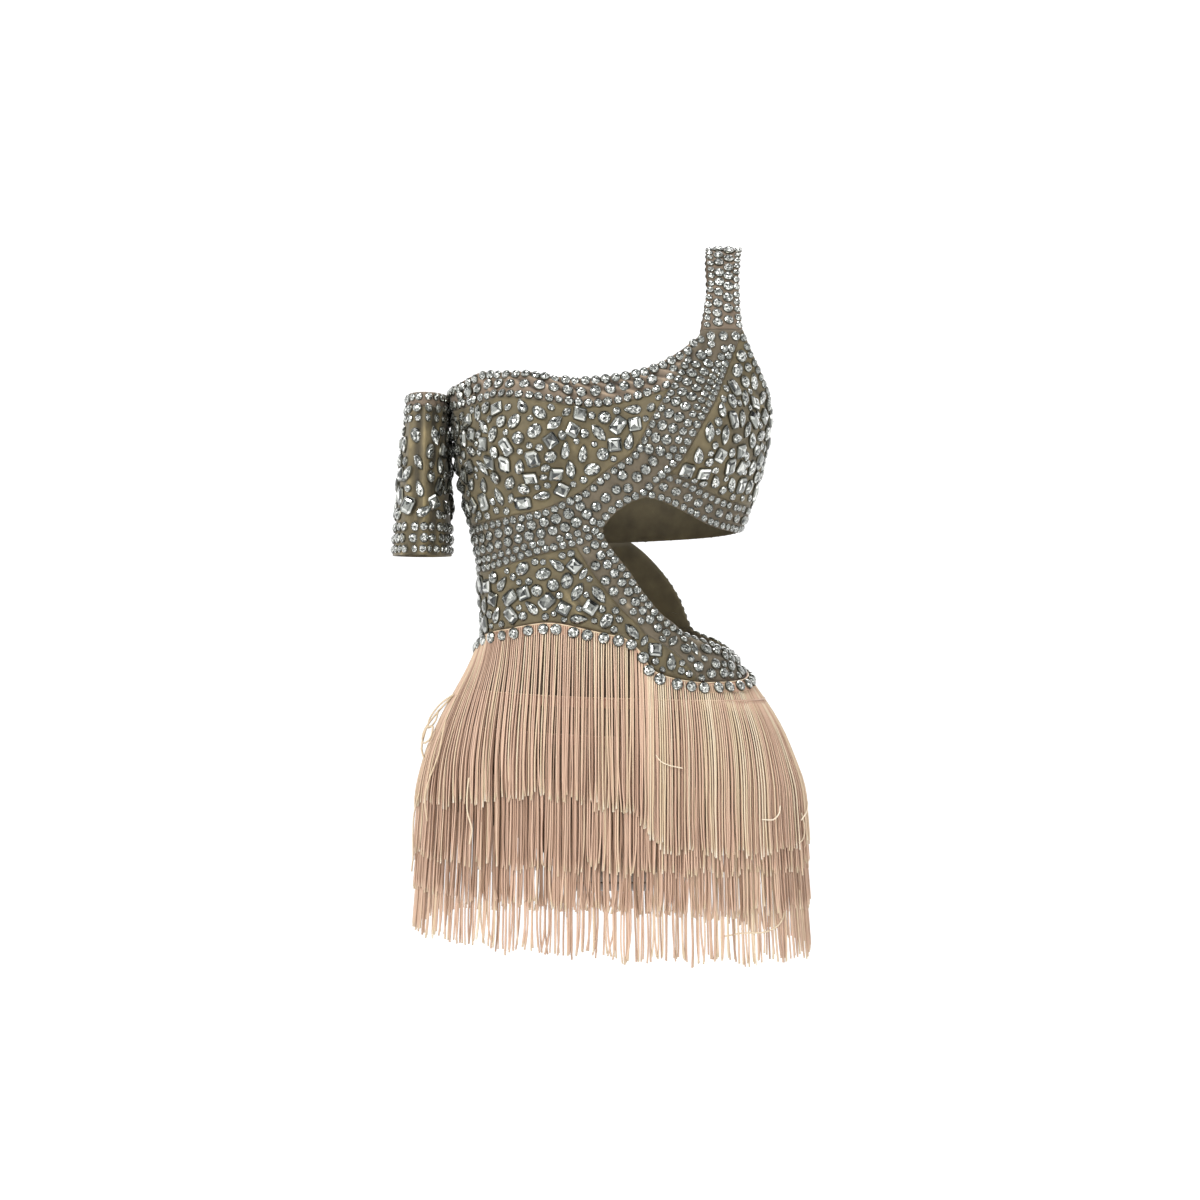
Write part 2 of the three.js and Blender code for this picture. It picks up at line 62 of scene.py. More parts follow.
EDGES = {
    "neckline": [(-90, 208), (-65, 211), (-53, 216), (-46, 219), (-37, 217), (-25, 216),
                 (-18, 212), (-11, 210), (-2, 211), (3, 214), (10, 219), (17, 228), (22.6, 238),
                 (28.6, 251.4)],
    "neckSeam": [(-90, 188), (-66, 187), (-51, 190), (-39, 193), (-28, 190), (-18.6, 186.5),
                 (-10, 184.5), (-3, 184), (3, 188), (10, 193), (18.3, 200.5)],
    "crossTopWaist": [(-90, 72), (-63, 75), (-39, 81), (-23, 87), (-11.5, 99)],
    "crossTopChest": [(-11.5, 99), (-7.3, 104.5), (-2.4, 117.5), (1.1, 128), (5.3, 137.5),
                      (8.4, 151), (11.6, 171), (18.3, 200.5)],
    "crossTopStrap": [(18.3, 200.5), (23.3, 227), (28.6, 251.4)],
    "crossTopEnd": [(28.6, 251.4), (30.2, 259.5)],
    "crossFootWaist": [(-90, 27), (-59, 29), (-39, 36.5), (-26, 43), (-8.9, 50.5)],
    "crossFootBand": [(-8.9, 50.5), (-3.6, 56.5), (-0.8, 68.5)],
    "crossFootOpen": [(-0.8, 68.5), (1.5, 81), (6.2, 92), (11.7, 98)],
    "crossFootUnder": [(11.7, 98), (15.2, 109), (19.1, 119)],
    "crossFootCup": [(19.1, 119), (23.3, 130.5), (25.4, 140), (28.3, 155), (30.8, 168),
                     (36.6, 191), (43.2, 225), (46, 246.5), (47.7, 261.7)],
    "armhole": [(47.7, 261.7), (52, 249.5), (59.3, 233.5), (72.4, 214), (90, 200)],
    "underTop": [(19.1, 119), (24, 116), (32.3, 108.5), (40, 102.5), (52, 96), (72, 92.5),
                 (90, 92)],
    "underFoot": [(11.7, 98), (17.2, 95), (23.5, 89.5), (32.4, 81.5), (46.7, 71.5), (72, 67),
                  (90, 69)],
    "cutEdge": [(-0.8, 68.5), (0.1, 59), (5.7, 42), (12, 27.5), (20.4, 7.5), (32, -11.5),
                (46, -25), (56, -37), (64, -45), (75, -49), (90, -49)],
    "cutFoot": [(35.3, -78.5), (36, -72), (31.5, -55.5), (26.8, -39), (22.3, -26),
                (12.8, -11.5), (4, 7.5), (-0.4, 22), (-4.5, 36), (-8.9, 50.5)],
    "tapeMidriff": [(-90, -43), (-58, -30), (-44, -27), (-34, -24), (-18, -21), (-4, -26),
                    (6, -32.5), (11, -36), (12.8, -47.5), (14.2, -61), (17.5, -68.5),
                    (25, -74.5), (35.3, -78.5)],
    "tapeHip": [(35.3, -78.5), (49, -79), (67, -78), (90, -72)],
    "tapeBack": [(90, -72), (135, -60), (180, -50), (225, -45), (270, -43)],
    "backEdge": [(90, -49), (107, -37), (125, -12), (145, 22), (160, 46), (170, 60)],
    "backOpen": [(90, 69), (130, 64), (170, 60)],
    "backSeam": [(170, 60), (220, 55), (270, 50)],
    "backArm": [(90, 200), (101, 214), (113, 234), (122, 248), (129, 258)],
    "backNeck": [(148, 258), (153, 242), (162, 222), (176, 206), (200, 196), (235, 196),
                 (270, 208)],
    "legFrontLeft": [(-90, -198), (-60, -201), (-36, -214), (-20, -236), (-12, -256), (-9, -272)],
    "legFrontRight": [(9, -272), (12, -256), (20, -236), (36, -214), (60, -201), (90, -198)],
    "legBackRight": [(90, -198), (118, -208), (142, -228), (160, -252), (171, -272)],
    "legBackLeft": [(189, -272), (200, -252), (218, -228), (242, -208), (270, -198)],
}


def hump(value, middle, spread):
    """A smooth hump, 1 at its middle."""
    return np.exp(-(((value - middle) / spread) ** 2))


def to_unit(v):
    return v / np.linalg.norm(v, axis=-1, keepdims=True)


def run_of(points):
    """Length of a line of points up to each of them."""
    return np.r_[0, np.cumsum(np.linalg.norm(np.diff(points, axis=0), axis=1))]


def picked(at, length, line):
    """Points of a line at lengths along it."""
    return np.stack([np.interp(at, length, line[:, k]) for k in (0, 1)], -1)


def pair(a, b):
    return np.stack([a, b], -1)


def lattice(across, up):
    return np.stack(np.meshgrid(across, up, indexing="ij"), -1)


def reader(rows, column):
    """Monotone cubic through one column of a table whose rows rise by height."""
    at, value = rows[:, 0], rows[:, column]
    pitch = np.diff(value) / np.diff(at)
    before, after = np.r_[pitch[0], pitch], np.r_[pitch, pitch[-1]]
    total = np.where(before + after == 0, 1, before + after)
    slope = np.where(before * after > 0, 2 * before * after / total, 0)

    def read(height):
        level = np.clip(height, at[0], at[-1])
        i = np.clip(np.searchsorted(at, level, side="right") - 1, 0, len(at) - 2)
        span = at[i + 1] - at[i]
        t = (level - at[i]) / span
        bend = t * (1 - t) * span * ((1 - t) * slope[i] - t * slope[i + 1])
        return value[i] + (value[i + 1] - value[i]) * t * t * (3 - 2 * t) + bend

    return read


MIDDLE, HALF, FRONT, BACK = (reader(FIGURE, k) for k in (1, 2, 3, 4))
FAR, NEAR, DEEP = (reader(SLEEVE, k) for k in (1, 2, 3))


def bust(x, height):
    """How far the two cups stand out."""
    rise = 0
    for apart in (-BUST_APART, BUST_APART):
        across = (x - MIDDLE(height) - apart) / BUST_ACROSS
        up = (height - BUST_HEIGHT) / np.where(height > BUST_HEIGHT, BUST_UP, BUST_DOWN)
        rise = rise + BUST_RISE * np.maximum(1 - across**2 - up**2, 0) ** 2
    return rise


def section(turn, level, height):
    """Points at a height, from the body's section at a level."""
    side, fore = np.sin(np.radians(turn)), np.cos(np.radians(turn))
    x = MIDDLE(level) + HALF(level) * np.sign(side) * np.abs(side) ** SQUARE
    closing = np.clip((HIP_LINE - height) / CROTCH_DROP, 0, 1)
    reach = np.where(fore > 0, -FRONT(level), BACK(level)) * np.abs(fore) ** SQUARE
    y = reach * np.sqrt(1 - closing**2) - np.where(fore > 0, bust(x, level), 0)
    return np.stack([x, y, np.broadcast_to(height, x.shape)], -1)


def body(q):
    return section(q[..., 0], q[..., 1], q[..., 1])


def hanging(q):
    """The body, but straight down below the hip line."""
    level = np.maximum(q[..., 1], HIP_LINE)
    points = section(q[..., 0], level, level)
    points[..., 2] = q[..., 1]
    return points


# a crease's crest and the trough beside it: shares of its rise, and the trough's place in widths
CREST, TROUGH, TROUGH_AWAY = 1.3, 0.5, 1.7
# creases, one by one: turn and height of its start, of its end, width, rise
CREASES = [
    (-36, 215, -22, 191, 1.9, 1.3), (-29, 216, -12, 190, 1.8, 1.7), (-23, 215, -4, 188, 1.9, 1.6),
    (-16, 212, 4, 190, 1.8, 1.8), (-9, 210, 10, 194, 1.8, 1.4), (-1, 211, 14, 200, 1.6, 1.2),
    (6, 214, 20, 207, 1.6, 1.4), (10, 221, 22, 214, 1.6, 1.3), (18, 228, 25, 221, 1.6, 1.2),
    (26, 246, 23, 224, 1.5, 1.2), (30, 250, 27, 224, 1.5, 1.1), (-62, 208, -52, 190, 2.2, 1.2),
    (-48, 213, -41, 194, 2.2, 1.2), (-72, 208, -60, 190, 2.4, 1.0), (56, 94, 70, 74, 2.0, 1.4),
    (64, 93, 76, 72, 2.0, 1.5), (72, 92, 82, 70, 2.0, 1.4), (80, 92, 88, 72, 2.2, 1.2),
    (60, 84, 88, 80, 1.8, 1.0), (8, 12, 30, -31, 1.6, 0.9), (4, 14, 27, -30, 1.5, 0.8),
    (12, 10, 36, -30, 1.5, 0.8), (34, -33, 66, -60, 1.8, 0.9), (38, -30, 74, -55, 1.6, 0.8),
    (33, -42, 60, -68, 1.8, 0.9), (-6, 6, 4, -22, 2.2, 1.0), (-12, 8, 0, -26, 2.2, 0.9),
    (-80, 66, -72, 30, 3.0, 0.9), (-68, 60, -76, 20, 3.0, 0.8), (-84, 20, -70, -6, 3.0, 1.0),
    (-70, 150, -84, 118, 3.4, 0.9), (70, 150, 82, 120, 3.2, 1.0), (60, 200, 80, 176, 3.0, 0.9),
    (100, 190, 128, 236, 4.0, 1.2), (120, 120, 150, 96, 4.0, 1.0), (200, 190, 232, 176, 4.0, 1.0),
    (250, 140, 262, 96, 3.6, 1.0), (210, 40, 190, 10, 3.4, 1.0), (250, 10, 228, -20, 3.4, 1.0),
]


def folds(q):
    """Rise of the creases at points of the body, and their painted light (above 0) or painted shade
    (below 0).
    """
    rise, tone = np.zeros((2, *q.shape[:-1]))
    x, z = q[..., 0] * DEGREE, q[..., 1]
    for t0, az, t1, bz, width, height in CREASES:
        ax = t0 * DEGREE
        dx, dz = t1 * DEGREE - ax, bz - az
        long = math.hypot(dx, dz)
        along = np.clip(((x - ax) * dx + (z - az) * dz) / long**2, 0, 1)
        away = np.hypot(x - ax - along * dx, z - az - along * dz)
        side = ((x - ax) * dz - (z - az) * dx) / long * (1 if dx * dz < 0 else -1)
        fade = np.sin(np.pi * np.clip(0.12 + 0.76 * along, 0, 1))
        crest = fade * hump(away, 0, width)
        beside = (side + TROUGH_AWAY * width) ** 2 + away**2 - side**2
        trough = fade * np.exp(-(beside / width**2))
        rise += height * (CREST * crest - TROUGH * trough)
        # painted highlight along each crest, painted shade in the trough beside it
        tone += 0.8 * crest - trough
    return rise, np.clip(tone, -1, 1)


# folds down the sleeve: turn at the top, turn at the hem, spread, rise
SLEEVE_FOLDS = [(-36, -26, 10, 3.2), (8, 14, 8, 4.2), (-148, -152, 12, 3.0), (156, 164, 12, 2.6),
                (30, 26, 6, -2.6), (50, 44, 6, 1.8), (-10, -8, 6, -2.0), (-60, -52, 6, 1.4),
                (98, 102, 8, 1.4), (-102, -98, 8, 1.6), (-130, -126, 5, -1.2)]


def sleeve_folds(q):
    """Rise of the sleeve's folds, and their painted light (above 0) or painted shade (below 0)."""
    turn, height = q[..., 0], q[..., 1]
    down = SLEEVE_SEAM - height
    loose = np.clip(down / 30, 0, 1)
    rise, tone = np.zeros((2, *turn.shape))
    for top, hem, spread, tall in SLEEVE_FOLDS:
        at = top + (hem - top) * down / (SLEEVE_SEAM - SLEEVE_HEM)
        away = (turn - at + 180) % 360 - 180
        ridge = loose * hump(away, 0, spread)
        shade = loose * hump(away, 1.5 * spread, spread)
        rise += tall * ridge
        # painted highlight on each ridge, painted shade beside it
        tone += 0.17 * tall * (ridge - 1.3 * shade)
    gather = hump(down, 11, 17) * np.sin(np.radians(turn * 15))
    # the gathers under the band also get painted light on their ridges and painted shade between them
    return rise + 0.9 * gather, np.clip(tone + 0.55 * gather, -1, 1)


def sleeve(q):
    turn, height = q[..., 0], q[..., 1]
    rise = sleeve_folds(q)[0]
    side, fore = np.sin(np.radians(turn)), np.cos(np.radians(turn))
    far, near = FAR(height), NEAR(height)
    x = (far + near) / 2 + (near - far) / 2 * side
    return np.stack([x, -(DEEP(height) + rise) * fore, height], -1)


def frame_at(surface, q, step=0.6):
    """Points, outward normals and the upward direction of a surface."""
    across = surface(q + (step, 0)) - surface(q - (step, 0))
    up = surface(q + (0, step)) - surface(q - (0, step))
    return surface(q), to_unit(np.cross(across, up)), to_unit(up)


def lifted(surface, q, lift):
    """Points of a surface moved out, and out with the creases on the body."""
    points, normal, _ = frame_at(surface, q)
    extra = folds(q)[0] if surface is body else 0
    return points + normal * (np.asarray(lift) + extra)[..., None]


# ---- edges and patches
F = 3  # how much finer the shells are than the solids


def knots(points, steps):
    """Centripetal curve through (turn, height) points, read off at equal steps."""
    fine = 24
    p = np.array(points, float) * (DEGREE, 1)
    p = np.vstack([2 * p[0] - p[1], p, 2 * p[-1] - p[-2]])
    dense = []
    for i in range(1, len(p) - 2):
        a, b, c, d = p[i - 1:i + 3]
        e, f, g = (max(np.linalg.norm(v), 1e-6) ** 0.5 for v in (b - a, c - b, d - c))
        m1 = ((b - a) / e - (c - a) / (e + f) + (c - b) / f) * f
        m2 = ((c - b) / f - (d - b) / (f + g) + (d - c) / g) * f
        t = np.linspace(0, 1, fine + 1)[:, None]
        piece = ((2 * t**3 - 3 * t**2 + 1) * b + (t**3 - 2 * t**2 + t) * m1
                 + (3 * t**2 - 2 * t**3) * c + (t**3 - t**2) * m2)
        dense.append(piece if i == len(p) - 3 else piece[:fine])
    dense = np.vstack(dense)
    length = run_of(dense)
    return picked(np.linspace(0, length[-1], steps + 1), length, dense) / (DEGREE, 1)


def edge(name, steps):
    """A named edge in its solid's steps, each cut in F."""
    return knots(EDGES[name], steps * F)


def chain(*parts):
    return np.vstack([parts[0], *[part[1:] for part in parts[1:]]])


def straight(a, b, steps):
    return np.linspace(np.array(a, float), np.array(b, float), steps + 1)


def upright(turn, low, high, steps):
    return straight((turn, low), (turn, high), steps * F)


def blend(u, v, a, b, c, d):
    return (1 - u) * (1 - v) * a + u * (1 - v) * b + (1 - u) * v * c + u * v * d


def patch(bottom, top, left, right):
    """Grid of (turn, height) that blends its four edges."""
    n, m = len(bottom), len(left)
    u, v = np.linspace(0, 1, n)[:, None, None], np.linspace(0, 1, m)[None, :, None]
    ends = blend(u, v, bottom[0], bottom[-1], top[0], top[-1])
    return ((1 - v) * bottom[:, None] + v * top[:, None]
            + (1 - u) * left[None] + u * right[None] - ends)


STRAP_FOOT = straight((30.2, 259.5), (47.7, 261.7), 9)
STRAP_TAIL = straight((148, 258), (129, 258), 9)
TAPE_FRONT = chain(edge("tapeMidriff", 16), edge("tapeHip", 5))
PATCHES = {
    "neck_band_front": patch(
        chain(edge("neckSeam", 36), edge("crossTopStrap", 12)[:-2]),
        knots(EDGES["neckline"], 48 * F - 2), straight((-90, 188), (-90, 208), 16),
        straight(edge("crossTopStrap", 12)[-3], (28.6, 251.4), 16)),
    "right_cup_panel": patch(
        edge("crossTopWaist", 18), edge("neckSeam", 18),
        upright(-90, 72, 188, 10), edge("crossTopChest", 10)),
    "cross_band": patch(
        chain(edge("crossFootWaist", 16), edge("crossFootBand", 2), edge("crossFootOpen", 3),
              edge("crossFootUnder", 2), edge("crossFootCup", 12)),
        chain(edge("crossTopWaist", 18), edge("crossTopChest", 10), edge("crossTopStrap", 6),
              edge("crossTopEnd", 1)),
        straight((-90, 27), (-90, 72), 9), STRAP_FOOT[::-1]),
    "left_cup_panel": patch(
        edge("underTop", 10), edge("armhole", 10), edge("crossFootCup", 12),
        upright(90, 92, 200, 12)),
    "under_cup_band": patch(
        edge("underFoot", 12), edge("underTop", 12), knots(EDGES["crossFootUnder"], 8),
        straight((90, 69), (90, 92), 8)),
    "midriff_panel": patch(
        edge("tapeMidriff", 16), edge("crossFootWaist", 16),
        upright(-90, -43, 27, 10), edge("cutFoot", 10)),
    "cutout_band": patch(
        chain(edge("cutFoot", 10)[::-1], edge("tapeHip", 5)), edge("cutEdge", 15),
        knots(EDGES["crossFootBand"], 8), straight((90, -72), (90, -49), 8)),
    "back_upper": patch(
        chain(edge("backOpen", 9), edge("backSeam", 11)),
        chain(edge("backArm", 6), STRAP_TAIL[::-1], edge("backNeck", 11)),
        upright(90, 69, 200, 8), upright(270, 50, 208, 8)),
    "back_lower": patch(
        edge("tapeBack", 20), chain(edge("backEdge", 10), edge("backSeam", 10)),
        upright(90, -72, -49, 5), upright(270, -43, 50, 5)),
    "brief_front": patch(
        chain(edge("legFrontLeft", 8), straight((-9, -272), (9, -272), 4 * F),
              edge("legFrontRight", 9)),
        TAPE_FRONT, upright(-90, -198, -43, 8), upright(90, -198, -72, 8)),
    "brief_back": patch(
        chain(edge("legBackRight", 8), straight((171, -272), (189, -272), 4 * F),
              edge("legBackLeft", 8)),
        edge("tapeBack", 20), upright(90, -198, -72, 8), upright(270, -198, -43, 8)),
}


# ---- meshes
def add_object(name, data):
    obj = bpy.data.objects.new(name, data)
    bpy.context.collection.objects.link(obj)
    return obj


def mesh_object(name, points, faces, materials, smooth=True, index=None, tone=None):
    mesh = bpy.data.meshes.new(name)
    places = (np.reshape(points, (-1, 3)) - HOLD) * MM
    mesh.from_pydata(places.tolist(), [], [list(map(int, f)) for f in faces])
    for material in materials:
        mesh.materials.append(material)
    mesh.polygons.foreach_set("use_smooth", np.full(len(mesh.polygons), smooth))
    if index is not None:
        mesh.polygons.foreach_set("material_index", np.asarray(index, np.int32))
    if tone is not None:
        domain = "FACE" if len(tone) == len(mesh.polygons) else "POINT"
        mesh.attributes.new("tone", "FLOAT", domain).data.foreach_set(
            "value", np.asarray(tone, np.float32))
    return add_object(name, mesh)


def shell(name, inner, outer, material, ring=False, tone=None):
    """Thin closed wall between two grids of points, with the painted light and shade of its folds."""
    n, m = inner.shape[:2]
    shift = n * m
    i = np.arange(n if ring else n - 1)[:, None]
    j = np.arange(m - 1)[None]
    a, b = i * m + j, (i + 1) % n * m + j
    faces = [np.stack([a, b, b + 1, a + 1], -1).reshape(-1, 4) + shift,
             np.stack([a, a + 1, b + 1, b], -1).reshape(-1, 4)]
    c, d = i[:, 0] * m, (i[:, 0] + 1) % n * m
    faces += [np.stack([c, d, d + shift, c + shift], -1),
              np.stack([c + shift, d + shift, d, c], -1) + (m - 1)]
    if not ring:
        k, last = np.arange(m - 1), (n - 1) * m
        faces += [np.stack([k, k + shift, k + 1 + shift, k + 1], -1),
                  np.stack([k + 1, k + 1 + shift, k + shift, k], -1) + last]
    points = np.vstack([inner.reshape(-1, 3), outer.reshape(-1, 3)])
    tone = np.zeros(n * m) if tone is None else tone.ravel()
    return mesh_object(name, points, np.vstack(faces), [material], tone=np.r_[tone, tone])


def cell_areas(points):
    """Areas of a grid's cells, each as the parallelogram at its first corner."""
    corner = points[:-1, :-1]
    return np.linalg.norm(np.cross(points[1:, :-1] - corner, points[:-1, 1:] - corner), axis=-1)


def area_of(points):
    """Square metres of a grid of points in millimetres."""
    return (cell_areas(points) + cell_areas(points[::-1, ::-1])[::-1, ::-1]).sum() / 2 * MM * MM


# ---- materials
def rgb(*color):
    """Linear colour of a screen colour whose channels are over 10."""
    return tuple(((c / 255 + 0.055) / 1.055) ** 2.4 for c in color) + (1.0,)


def principled(name, color, roughness, **sockets):
    material = bpy.data.materials.new(name)
    material.use_nodes = True
    shader = material.node_tree.nodes["Principled BSDF"]
    shader.inputs["Base Color"].default_value = color
    shader.inputs["Roughness"].default_value = roughness
    for key, value in sockets.items():
        shader.inputs[key.replace("_", " ")].default_value = value
    return material, material.node_tree, shader


def add_node(tree, kind, **inputs):
    node = tree.nodes.new("ShaderNode" + kind)
    for key, value in inputs.items():
        node.inputs[key].default_value = value
    return node


def tone_of(tree):
    node = add_node(tree, "Attribute")
    node.attribute_name = "tone"
    return node.outputs["Fac"]


def ramp(tree, source, stops):
    node = add_node(tree, "ValToRGB")
    elements = node.color_ramp.elements
    elements[0].position, elements[0].color = stops[0]
    elements[1].position, elements[1].color = stops[-1]
    for position, color in stops[1:-1]:
        elements.new(position).color = color
    tree.links.new(source, node.inputs["Fac"])
    return node.outputs["Color"]


def cloth(name, light, dark, scale):
    """Woven cloth, mottled a little, with painted shade in the troughs of its creases and painted
    highlights on their crests.
    """
    material, tree, shader = principled(name, light, 0.72, Sheen_Weight=0.25, Sheen_Roughness=0.4)
    link = tree.links.new
    place = add_node(tree, "TexCoord").outputs["Object"]
    noise = add_node(tree, "TexNoise", Scale=scale, Detail=6)
    mix = add_node(tree, "Math")
    mix.operation = "MULTIPLY_ADD"
    mix.inputs[1].default_value = 0.42
    link(place, noise.inputs["Vector"])
    link(tone_of(tree), mix.inputs[0])
    link(noise.outputs["Fac"], mix.inputs[2])
    # painted shade for the troughs and painted highlight for the crests, picked by the folds' tone
    trough_painted_shade = tuple(0.35 * c for c in dark[:3]) + (1.0,)
    crest = tuple(2.1 * c for c in light[:3]) + (1.0,)
    stops = [(0.0, trough_painted_shade), (0.32, dark), (0.66, light), (1.0, crest)]
    link(ramp(tree, mix.outputs["Value"], stops), shader.inputs["Base Color"])
    weave = add_node(tree, "TexWave", Scale=420, Distortion=1.5)
    bump = add_node(tree, "Bump", Strength=0.12, Distance=0.0006)
    link(place, weave.inputs["Vector"])
    link(weave.outputs["Fac"], bump.inputs["Height"])
    link(bump.outputs["Normal"], shader.inputs["Normal"])
    return material


def toned(name, stops, roughness, **sockets):
    """A material coloured by the mesh's own tone, from dark to light stops."""
    material, tree, shader = principled(name, stops[-1][1], roughness, **sockets)
    tree.links.new(ramp(tree, tone_of(tree), stops), shader.inputs["Base Color"])
    return material


MESH = cloth("stretch_mesh", rgb(102, 91, 64), rgb(82, 73, 51), 60)
BAND = cloth("doubled_mesh", rgb(120, 105, 88), rgb(98, 84, 69), 60)
# the lower bands: the doubled mesh darkened, painted shade where less light falls than on the neck
# band and strap
SHADED_BAND = cloth("doubled_mesh_painted_shade", rgb(98, 88, 71), rgb(80, 71, 56), 60)
# the brief's cloth, darkened: partly its own colour, partly painted shade for the dark gaps seen
# through the fringe
LINING_AND_SHADE = cloth("lining", rgb(84, 66, 48), rgb(66, 52, 38), 40)
TAPE = cloth("tape", rgb(206, 160, 138), rgb(184, 136, 114), 80)
# the lower tiers' tapes: the tape darkened, painted shade under the strands of the tiers above
SHADED_UNDER_TAPE = cloth("under_tape_painted_shade", rgb(176, 132, 112), rgb(152, 112, 92), 80)
# the stones' glass, coloured from dark to white by the painted reflections of its facets
STONE = toned("cut_glass", [(0.0, (0.015, 0.018, 0.018, 1)), (0.35, (0.14, 0.147, 0.135, 1)),
                            (0.7, (0.41, 0.425, 0.395, 1)), (1.0, (0.9, 0.91, 0.87, 1))],
              0.1, Metallic=0.75, Coat_Weight=1.0, Coat_Roughness=0.03)
SETTING = principled("setting", rgb(94, 93, 84), 0.35, Metallic=1.0)[0]
FRINGE = toned("satin_cord", [(0.0, rgb(126, 96, 74)), (0.25, rgb(172, 140, 118)),
                              (0.5, rgb(202, 170, 147)), (0.75, rgb(204, 184, 153)),
                              (1.0, rgb(238, 226, 208))],
               0.45, Sheen_Weight=0.2, Sheen_Roughness=0.3)

# ---- frame and cloth
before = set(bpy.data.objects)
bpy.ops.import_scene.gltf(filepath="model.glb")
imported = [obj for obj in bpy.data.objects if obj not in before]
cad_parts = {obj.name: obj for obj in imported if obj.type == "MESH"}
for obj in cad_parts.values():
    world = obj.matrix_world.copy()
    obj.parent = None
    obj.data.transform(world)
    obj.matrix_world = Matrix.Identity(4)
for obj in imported:
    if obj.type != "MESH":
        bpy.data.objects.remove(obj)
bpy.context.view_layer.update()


def declare(obj, node):
    """Hangs a cloth from the root and hides the solid that it replaces."""
    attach(obj, "root")
    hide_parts(node)


LOOK = {"neck_band_front": BAND, "cross_band": SHADED_BAND, "under_cup_band": SHADED_BAND,
        "cutout_band": SHADED_BAND, "brief_front": LINING_AND_SHADE, "brief_back": LINING_AND_SHADE}
LIFT = {}
for node, grid in PATCHES.items():
    material = LOOK.get(node, MESH)
    thick = BAND_THICK if material in (BAND, SHADED_BAND) else MESH_THICK
    LIFT[node] = thick + INSIDE
    outer = lifted(body, grid, LIFT[node])
    inner = lifted(body, grid, INSIDE)
    obj = shell("cloth_" + node, inner, outer, material, tone=folds(grid)[1])
    declare(obj, node)

# strap over the shoulder
COLUMNS = 10  # lines of points across it
wide = np.linspace(-1, 1, COLUMNS)
yaw = np.radians(STRAP[:, 4])[:, None]
x, y, height, half = (STRAP[:, k:k + 1] for k in range(4))
rows = np.stack([x + wide * half * np.cos(yaw), y + wide * half * np.sin(yaw),
                 np.broadcast_to(height, (len(STRAP), COLUMNS))], -1)
rows = np.concatenate([body(STRAP_FOOT)[None], rows, body(STRAP_TAIL)[None]])
run = run_of(rows.mean(1))
STRAP_HALF, STRAP_LONG = 18.0, run[-1]
NARROW, NECK_AT, NECK_SPREAD, NECK_SHIFT = 0.84, 58.0, 30.0, 2.9
STRAP_READ = [[reader(pair(run, rows[:, i, k]), 1) for k in range(3)] for i in range(COLUMNS)]


def strap(q):
    """q is (millimetres across from the middle, millimetres along).

    The strap draws in to NARROW of its width between each foot and the shoulder.
    """
    along = np.clip(q[..., 1], 0, STRAP_LONG)
    columns = np.stack([np.stack([r(along) for r in column], -1) for column in STRAP_READ], -2)
    from_foot = np.minimum(along, STRAP_LONG - along)
    drawn = hump(from_foot, NECK_AT, NECK_SPREAD)
    across = q[..., 0] * (1 - (1 - NARROW) * drawn) + NECK_SHIFT * drawn
    at = np.clip((across / STRAP_HALF + 1) * (COLUMNS - 1) / 2, 0, COLUMNS - 1)
    i = np.minimum(at.astype(int), COLUMNS - 2)[..., None, None]
    a = np.take_along_axis(columns, i, -2)[..., 0, :]
    b = np.take_along_axis(columns, i + 1, -2)[..., 0, :]
    return a + (b - a) * (at - i[..., 0, 0])[..., None]


EDGE_IN = 0.65  # the cloth ends this far inside the solid's edges
grid = lattice(np.linspace(EDGE_IN - STRAP_HALF, STRAP_HALF - EDGE_IN, 12),
               np.linspace(0.4, STRAP_LONG - 0.4, 60))
LIFT["strap"] = BAND_THICK + INSIDE
outer = lifted(strap, grid, LIFT["strap"])
obj = shell("cloth_strap", lifted(strap, grid, INSIDE), outer, BAND)
declare(obj, "strap")

# sleeve and its band
for node, lo, hi, thick, material, slot in (
        ("sleeve", SLEEVE_HEM, SLEEVE_SEAM - 0.15, MESH_THICK, MESH, "mesh_cloth"),
        ("sleeve_band", SLEEVE_SEAM + 0.15, 203, BAND_THICK, BAND, "band_cloth")):
    steps = 44 if node == "sleeve" else 6
    grid = lattice(np.linspace(-180, 180, 121)[:-1], np.linspace(lo, hi, steps))
    outer = lifted(sleeve, grid, -INSIDE)
    inner = lifted(sleeve, grid, -thick - INSIDE)
    obj = shell("cloth_" + node, inner, outer, material, ring=True, tone=sleeve_folds(grid)[1])
    declare(obj, node)

# the strip between the legs
start = math.asin((HIP_LINE - CROTCH_HEIGHT + 0.3) / CROTCH_DROP)
depth = HIP_LINE - CROTCH_DROP * np.sin(np.linspace(start, math.pi / 2, 16))
turns = np.linspace(-CROTCH_TURN, CROTCH_TURN, 13)
grid = np.array([np.concatenate([body(pair(np.full(16, 180 - t), depth)),
                                 body(pair(np.full(15, t), depth[-2::-1]))])
                 for t in turns])
normal = to_unit(np.cross(np.gradient(grid, axis=0), np.gradient(grid, axis=1)))
outer = grid + normal * (BAND_THICK + INSIDE)
obj = shell("cloth_gusset", grid + normal * INSIDE, outer, LINING_AND_SHADE)
declare(obj, "gusset")


# ---- stones
def outline(kind):
    if kind in ("round", "oval", "drop"):
        a = np.arange(12) / 12 * 2 * np.pi
        pull = (1 + np.cos(a)) / 2 if kind == "drop" else 0
        return pair(np.cos(a), np.sin(a) * (1 - 0.55 * pull**1.5))
    if kind == "navette":
        x = np.array([1, 0.72, 0.38, 0, -0.38, -0.72])
        y = (1 - x**2) ** 0.85
        return np.concatenate([pair(x, y), pair(-x, -y)])
    cut = 0.2 if kind == "square" else 0.34
    corner = [(1, 1 - cut), (1 - cut, 1), (cut - 1, 1), (-1, 1 - cut)]
    return np.array(corner + [(-x, -y) for x, y in corner], float)


